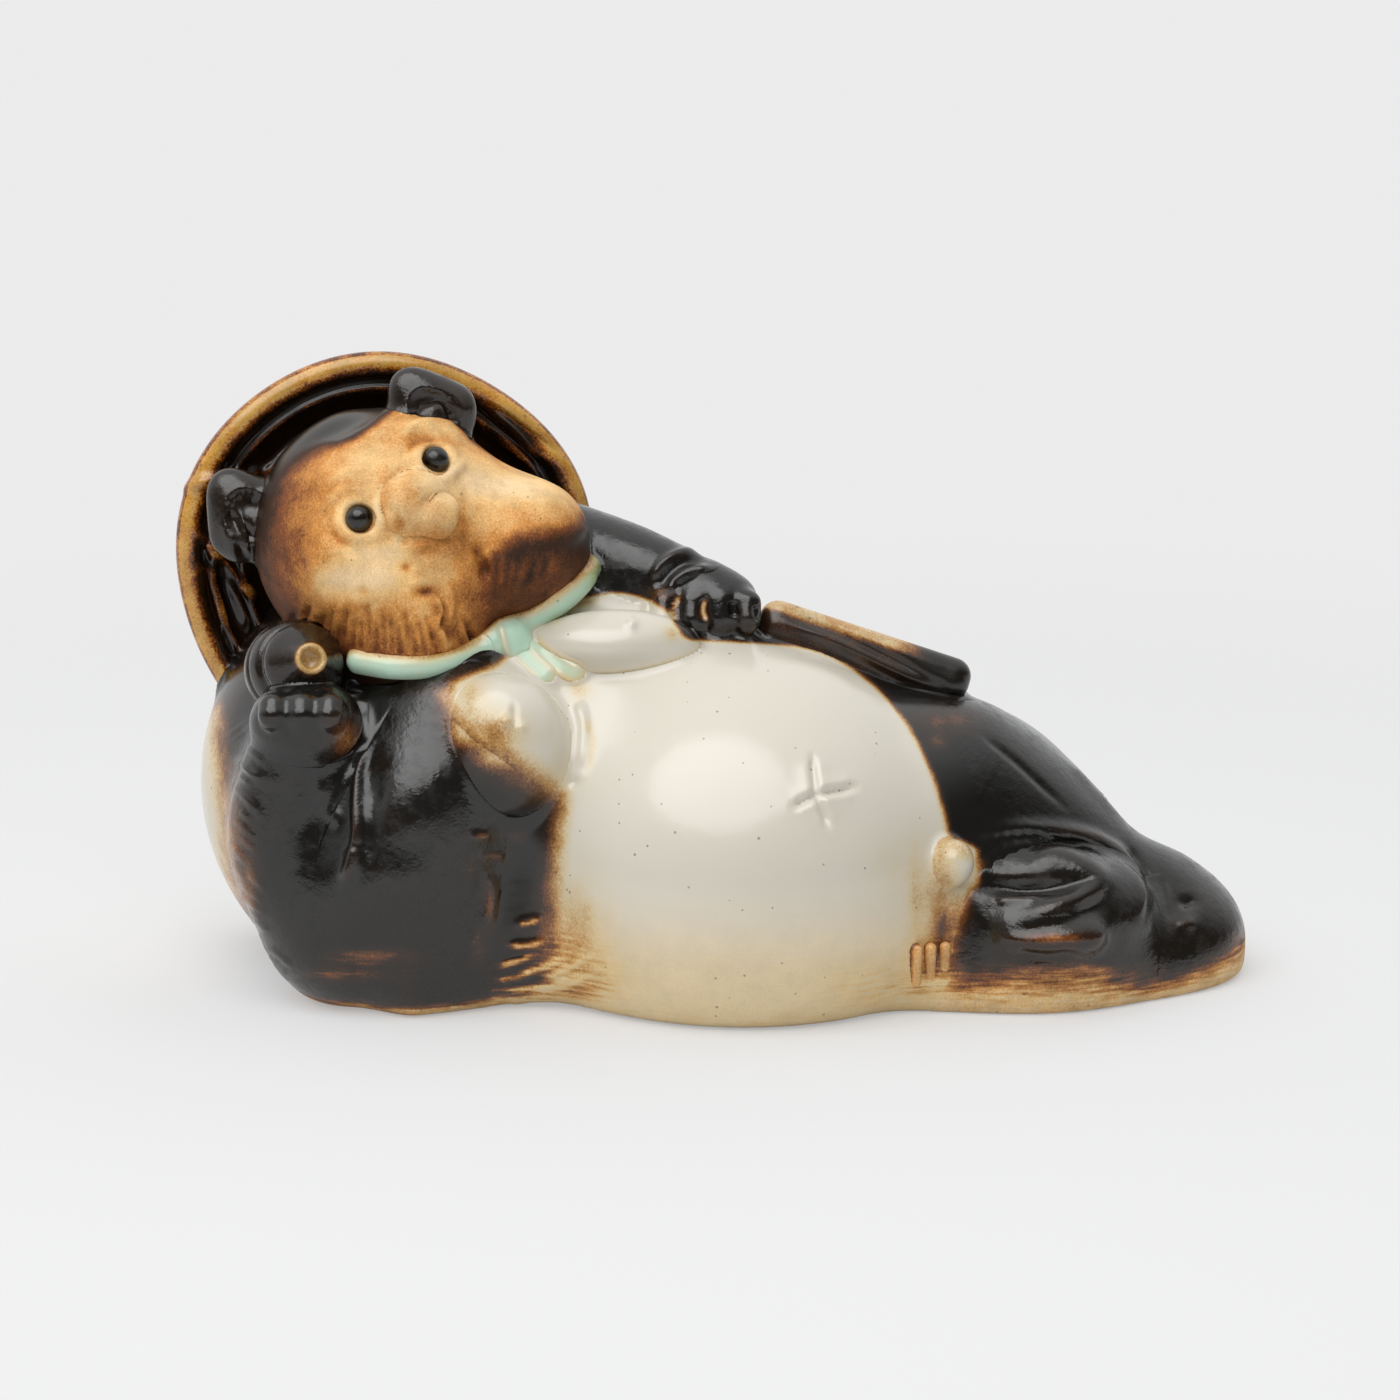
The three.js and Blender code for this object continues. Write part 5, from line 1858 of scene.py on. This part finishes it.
@dataclass
class Sprigs:
    """Small pieces luted on the body: breasts, nub and fur locks."""

    right_breast: tuple = (-35.3, 47.5, 0.5, (24.0, 20.0, 27.0))
    left_breast: tuple = (-15.0, 64.0, 1.0, (29.0, 12.0, 12.0))
    nub: tuple = (45.0, 28.0, 2.0, (7.2, 8.0, 8.4))
    lock_count: int = 3
    lock_first: float = 38.4
    lock_step: float = 2.6
    lock_ends: Span = (13.0, 6.5)
    lock_radius: float = 1.0
    lock_lifts: tuple[float, ...] = (1.0, 1.7, 2.8)
    lock_grid: Grid = (24, 14, 48)
    amber: float = 0.24  # iron at the top and the left of the nub
    amber_down: Span = (868.0, 848.0)  # pixels where it starts, and where it is full
    amber_across: Span = (970.0, 940.0)
    grids: tuple = (("right_breast", 60, 220), ("left_breast", 60, 220), ("nub", 36, 110))
    rises: Marks = (
        Dab((506, 722), (7, 7), 1.0), Dab((521, 728), (6, 6), 0.5), Dab((514, 716), (4, 10), -0.4),
        Dab((632, 624), (6, 6), 0.7), Dab((600, 648), (46, 20), 1.7),
    )

    def add_forms(self, clay: Clay, torso: Torso) -> None:
        """Register the forms of the sprigs."""
        for name in ("right_breast", "left_breast", "nub"):
            x, z, lift, size = getattr(self, name)
            clay.forms[name] = Egg(tuple(torso.front(x, z, lift)), size)
        for i in range(self.lock_count):
            x = self.lock_first + i * self.lock_step
            ends = [torso.front(x, z, self.lock_lifts[i]) for z in self.lock_ends]
            clay.forms[f"fur_lock_{i + 1}"] = Limb(np.array(ends), (self.lock_radius, self.lock_radius), 4)

    def build(self, clay: Clay, dresser: Dresser) -> None:
        """Make the sprigs."""
        for name, rows, columns in self.grids:
            rays = ball_rays(clay.forms[name].centre, rows, columns)
            skin = pressed(clay, name, rays, 40.0, (drawn(*self.rises),))
            coat = in_joints(skin, body_coat(skin), 0.26, 0.9)
            if name == "nub":
                across, down = skin.spots.T
                amber = np.maximum(ease(*self.amber_down, down), ease(*self.amber_across, across))
                coat.iron = np.maximum(coat.iron, self.amber * amber)
            dresser.dress(Slot.CREAM, (skin, coat))
        for i in range(self.lock_count):
            name = f"fur_lock_{i + 1}"
            skin = pressed(clay, name, limb_rays(clay.forms[name], *self.lock_grid), 8.0, rounds=4)
            # The iron of 0.7 in the joints of a lock is painted shade in the crease where it meets the body.
            dresser.dress(Slot.BUFF, (skin, in_joints(skin, Coat.plain(skin, iron=0.24), 0.7, 1.1)))


@dataclass
class Strap:
    """The hat strap in clay: a knot, two bands and two tails."""

    radius: float = 2.3
    wide: float = 2.9  # radius of the left band
    lift: float = -0.2
    low: float = -1.1  # lift of the knot and the tails
    knot: Triple = (-33.0, -27.0, 65.0)
    knot_size: Triple = (8.0, 7.0, 8.0)
    folds: tuple[Stroke, ...] = (
        Stroke(((500, 622), (504, 640), (510, 660)), 0.7, 0.6),
        Stroke(((512, 656), (524, 667), (540, 682)), 0.6, 0.5),
        Stroke(((529, 648), (546, 664), (566, 680)), 0.6, 0.5),
        Stroke(((440, 648), (470, 642), (496, 628)), 0.7, 0.4),
        Stroke(((520, 622), (560, 592), (600, 560)), 0.7, 0.5),
        Stroke(((545, 648), (565, 660), (584, 672)), 0.6, 0.4),
    )
    burnt: Dab = Dab((602, 564), (22, 22), 0.24)
    knot_grid: tuple[int, int] = (36, 120)
    band_grid: Grid = (90, 16, 64)
    right: tuple = ((-46.5, -33.0, 62.0), (-61.0, -32.0, 62.5))
    left: tuple = ((-22.0, -24.0, 73.0), (-9.0, -14.0, 83.0))
    tail_right: tuple = ((-25.5, -30.0, 58.0),)
    tail_left: tuple = ((-19.0, -29.0, 59.0),)
    heart: Triple = (-44.0, -6.0, 62.0)

    def on_neck(self, target: Point, neck: Field, lift: float) -> Array:
        """A point of the strap on the neck, in the direction of a target, moved out by a lift."""
        return seat(neck, self.heart, unit(np.asarray(target) - np.asarray(self.heart)), lift)

    def add_forms(self, clay: Clay) -> None:
        """Register the forms of the strap, seated on the body, the head and the left arm."""

        def neck(points: Array) -> Array:
            return np.min([clay.forms[name](points) for name in ("torso", "head", "left_arm")], axis=0)

        clay.forms["strap_knot"] = Egg(tuple(self.on_neck(self.knot, neck, self.low)), self.knot_size)
        for name in ("right", "left", "tail_right", "tail_left"):
            targets = getattr(self, name)
            route = evenly(bend(np.array([self.knot, *targets]), 60), 2 * len(targets) + 1)
            lift = self.low if name.startswith("tail") else self.lift
            seats = np.array([self.on_neck(point, neck, lift) for point in route])
            radius = self.wide if name == "left" else self.radius
            clay.forms[f"strap_{name}"] = Limb(seats, (radius,) * len(seats), 15)

    def build(self, clay: Clay, dresser: Dresser) -> None:
        """Make the strap."""
        relief = drawn(*self.folds)
        rays = ball_rays(clay.forms["strap_knot"].centre, *self.knot_grid)
        skins = [pressed(clay, "strap_knot", rays, 15.0, (relief,))]
        for name in ("strap_right", "strap_left", "strap_tail_right", "strap_tail_left"):
            rays = limb_rays(clay.forms[name], *self.band_grid)
            skins.append(pressed(clay, name, rays, 10.0, (relief,), rounds=4))
        for skin in skins:
            coat = Coat.plain(skin, cream=0.9)
            pale = total((Stroke(fold.route, 0.7, 0.75) for fold in self.folds), skin.spots)
            body = np.minimum(clay.forms["torso"](skin.points), clay.forms["head"](skin.points))
            coat.green = clamp(0.9 * ease(0.0, 2.2, body) - pale)
            coat.iron = 0.38 * mound(np.maximum(body, 0.0), 0.8) + self.burnt(skin.spots)
            dresser.dress(Slot.GREEN, (skin, coat))


# Joints between the forms: the width of slip from each form to its neighbours
JOINTS = {
    "torso": {
        "upper_arm": 9.0, "forearm": 12.0, "left_arm": 6.0, "right_breast": 3.0, "left_breast": 3.0,
        "head": 1.5, "left_leg": 9.0, "right_leg": 5.0, "hat": 3.0, "right_paw": 3.0, "flask": 2.0,
        "left_paw": 4.0, "ledger": 3.0, "nub": 2.5, "strap_knot": 2.0, "strap_right": 1.8, "strap_left": 2.0,
        "strap_tail_right": 2.4, "strap_tail_left": 2.4,
        "fur_lock_1": 1.2, "fur_lock_2": 1.2, "fur_lock_3": 1.2,
    },
    "head": {
        "muzzle": 1.4, "nose": 1.6, "right_ear": 2.0, "left_ear": 2.0, "hat": 2.0, "flask": 1.0,
        "left_arm": 1.5, "strap_right": 1.0, "strap_left": 1.0,
    },
    "nose": {"muzzle": 1.0},
    "hat": {"right_ear": 1.5, "left_ear": 1.5, "flask": 1.5},
    "upper_arm": {"forearm": 7.0, "right_breast": 2.5},
    "right_paw": {"forearm": 3.0, "flask": 1.2},
    "left_arm": {"left_paw": 3.0, "strap_left": 1.2},
    "left_leg": {"right_leg": 3.5, "left_foot": 7.0},
    "right_leg": {"left_foot": 6.0, "right_foot": 4.5, "nub": 2.0},
    "strap_knot": {"strap_right": 3.0, "strap_left": 3.0, "strap_tail_right": 2.6, "strap_tail_left": 2.6},
    "right_breast": {"strap_tail_right": 1.2},
    "left_breast": {"strap_tail_left": 1.2},
}


@dataclass
class Studio:
    """A pale floor, soft light and the camera."""

    view: Viewpoint = VIEW
    floor_size: float = 20.0
    floor_colour: Triple = (0.74, 0.74, 0.74)
    backdrop: Triple = (0.833, 0.833, 0.833)
    near: float = 0.12
    far: float = 0.5
    glow: float = 0.45  # share of light of its own that the floor has near the figurine
    bright_side: Triple = (-0.2, 0.6, 0.77)
    sky_colour: Triple = (0.98, 0.99, 1.0)
    sky_strength: Span = (0.08, 0.95)  # on the dim side and on the bright one
    lamp_place: Triple = (-0.25, -0.6, 1.05)
    lamp_size: Span = (1.5, 1.2)
    lamp_power: float = 11.5

    def build(self) -> None:
        """Set up the stage."""
        self.floor()
        self.lights()
        self.camera()
        bpy.context.scene.view_settings.view_transform = "Standard"

    def floor(self) -> None:
        """A wide floor that keeps the shadow near the figurine and is an even backdrop farther out."""
        half = self.floor_size / 2
        mesh = bpy.data.meshes.new("floor")
        corners = [(-half, -half, 0), (half, -half, 0), (half, half, 0), (-half, half, 0)]
        mesh.from_pydata(corners, [], [(0, 1, 2, 3)])
        floor = bpy.data.objects.new("floor", mesh)
        bpy.context.scene.collection.objects.link(floor)
        material = bpy.data.materials.new("pale_floor")
        material.use_nodes = True
        nodes = Nodes(material.node_tree)
        where = nodes.add("TexCoord").outputs["Object"]
        away = nodes.add("VectorMath", {0: where}, operation="LENGTH").outputs["Value"]
        outer = nodes.remap(away, self.near, self.far, self.glow, 1.0)
        path = nodes.add("LightPath")
        seen = nodes.math("MAXIMUM", path.outputs["Is Camera Ray"], path.outputs["Is Glossy Ray"])
        seen = nodes.math("MAXIMUM", seen, path.outputs["Is Transmission Ray"])
        matt = nodes.add("BsdfDiffuse", {"Color": (*self.floor_colour, 1.0)}).outputs[0]
        glow = nodes.add("Emission", {"Color": (*self.backdrop, 1.0)}).outputs[0]
        mixed = nodes.add("MixShader", {0: nodes.math("MULTIPLY", outer, seen), 1: matt, 2: glow}).outputs[0]
        nodes.add("OutputMaterial", {"Surface": mixed})
        mesh.materials.append(material)

    def lights(self) -> None:
        """A soft box above, and a sky that is bright above and behind and dim on the viewer's side."""
        self.soft_box()
        world = bpy.data.worlds.new("sky")
        bpy.context.scene.world = world
        world.use_nodes = True
        nodes = Nodes(world.node_tree)
        path = nodes.add("LightPath")
        seen = nodes.math("MAXIMUM", path.outputs["Is Camera Ray"], path.outputs["Is Transmission Ray"])
        where = nodes.add("TexCoord").outputs["Generated"]
        bright = nodes.add("VectorMath", {0: where, 1: self.bright_side}, operation="DOT_PRODUCT")
        strength = nodes.remap(bright.outputs["Value"], -0.1, 0.7, *self.sky_strength)
        sky = nodes.add("Background", {"Color": (*self.sky_colour, 1.0), "Strength": strength}).outputs[0]
        pale = nodes.add("Background", {"Color": (*self.backdrop, 1.0), "Strength": 1.0}).outputs[0]
        mixed = nodes.add("MixShader", {0: seen, 1: sky, 2: pale}).outputs[0]
        nodes.add("OutputWorld", {"Surface": mixed})

    def soft_box(self) -> None:
        """An oval lamp that points at the figurine."""
        lamp = bpy.data.lights.new("key", "AREA")
        lamp.shape = "ELLIPSE"
        lamp.size, lamp.size_y = self.lamp_size
        lamp.energy = self.lamp_power
        box = bpy.data.objects.new("key", lamp)
        box.location = self.lamp_place
        aim = Vector((0.0, 0.0, self.view.aim * METRES)) - Vector(self.lamp_place)
        box.rotation_euler = aim.to_track_quat("-Z", "Y").to_euler()
        bpy.context.scene.collection.objects.link(box)

    def camera(self) -> None:
        """The camera at the viewpoint."""
        data = bpy.data.cameras.new("camera")
        data.angle = self.view.opening
        camera = bpy.data.objects.new("camera", data)
        aim = Vector((0.0, 0.0, self.view.aim * METRES))
        camera.location = aim + Vector(self.view.toward) * self.view.distance * METRES
        camera.rotation_euler = (aim - camera.location).to_track_quat("-Z", "Y").to_euler()
        bpy.context.scene.collection.objects.link(camera)
        bpy.context.scene.camera = camera


def main() -> None:
    """Build the figurine and its stage."""
    logging.basicConfig(level=logging.INFO, format="%(message)s")
    stoneware = Stoneware()
    stoneware.build()
    dresser = Dresser(stoneware)
    torso, head, hat, arms, legs, sprigs, strap = Torso(), Head(), Hat(), Arms(), Legs(), Sprigs(), Strap()
    clay = Clay()
    clay.forms["torso"] = torso.form
    clay.forms["hat"] = hat.form
    head.add_forms(clay)
    arms.place(torso)
    arms.add_forms(clay)
    legs.add_forms(clay, torso)
    sprigs.add_forms(clay, torso)
    strap.add_forms(clay)
    for first, neighbours in JOINTS.items():
        for second, flow in neighbours.items():
            clay.lute(first, second, flow)
    relief = drawn(*torso.marks(), *arms.marks(), *legs.marks())
    torso.build(clay, dresser, relief)
    head.build(clay, dresser)
    hat.build(clay, dresser)
    arms.build_right(clay, dresser, relief)
    arms.build_left(clay, dresser, relief)
    legs.build(clay, dresser, relief)
    sprigs.build(clay, dresser)
    strap.build(clay, dresser)
    Studio().build()


if __name__ == "__main__":
    main()
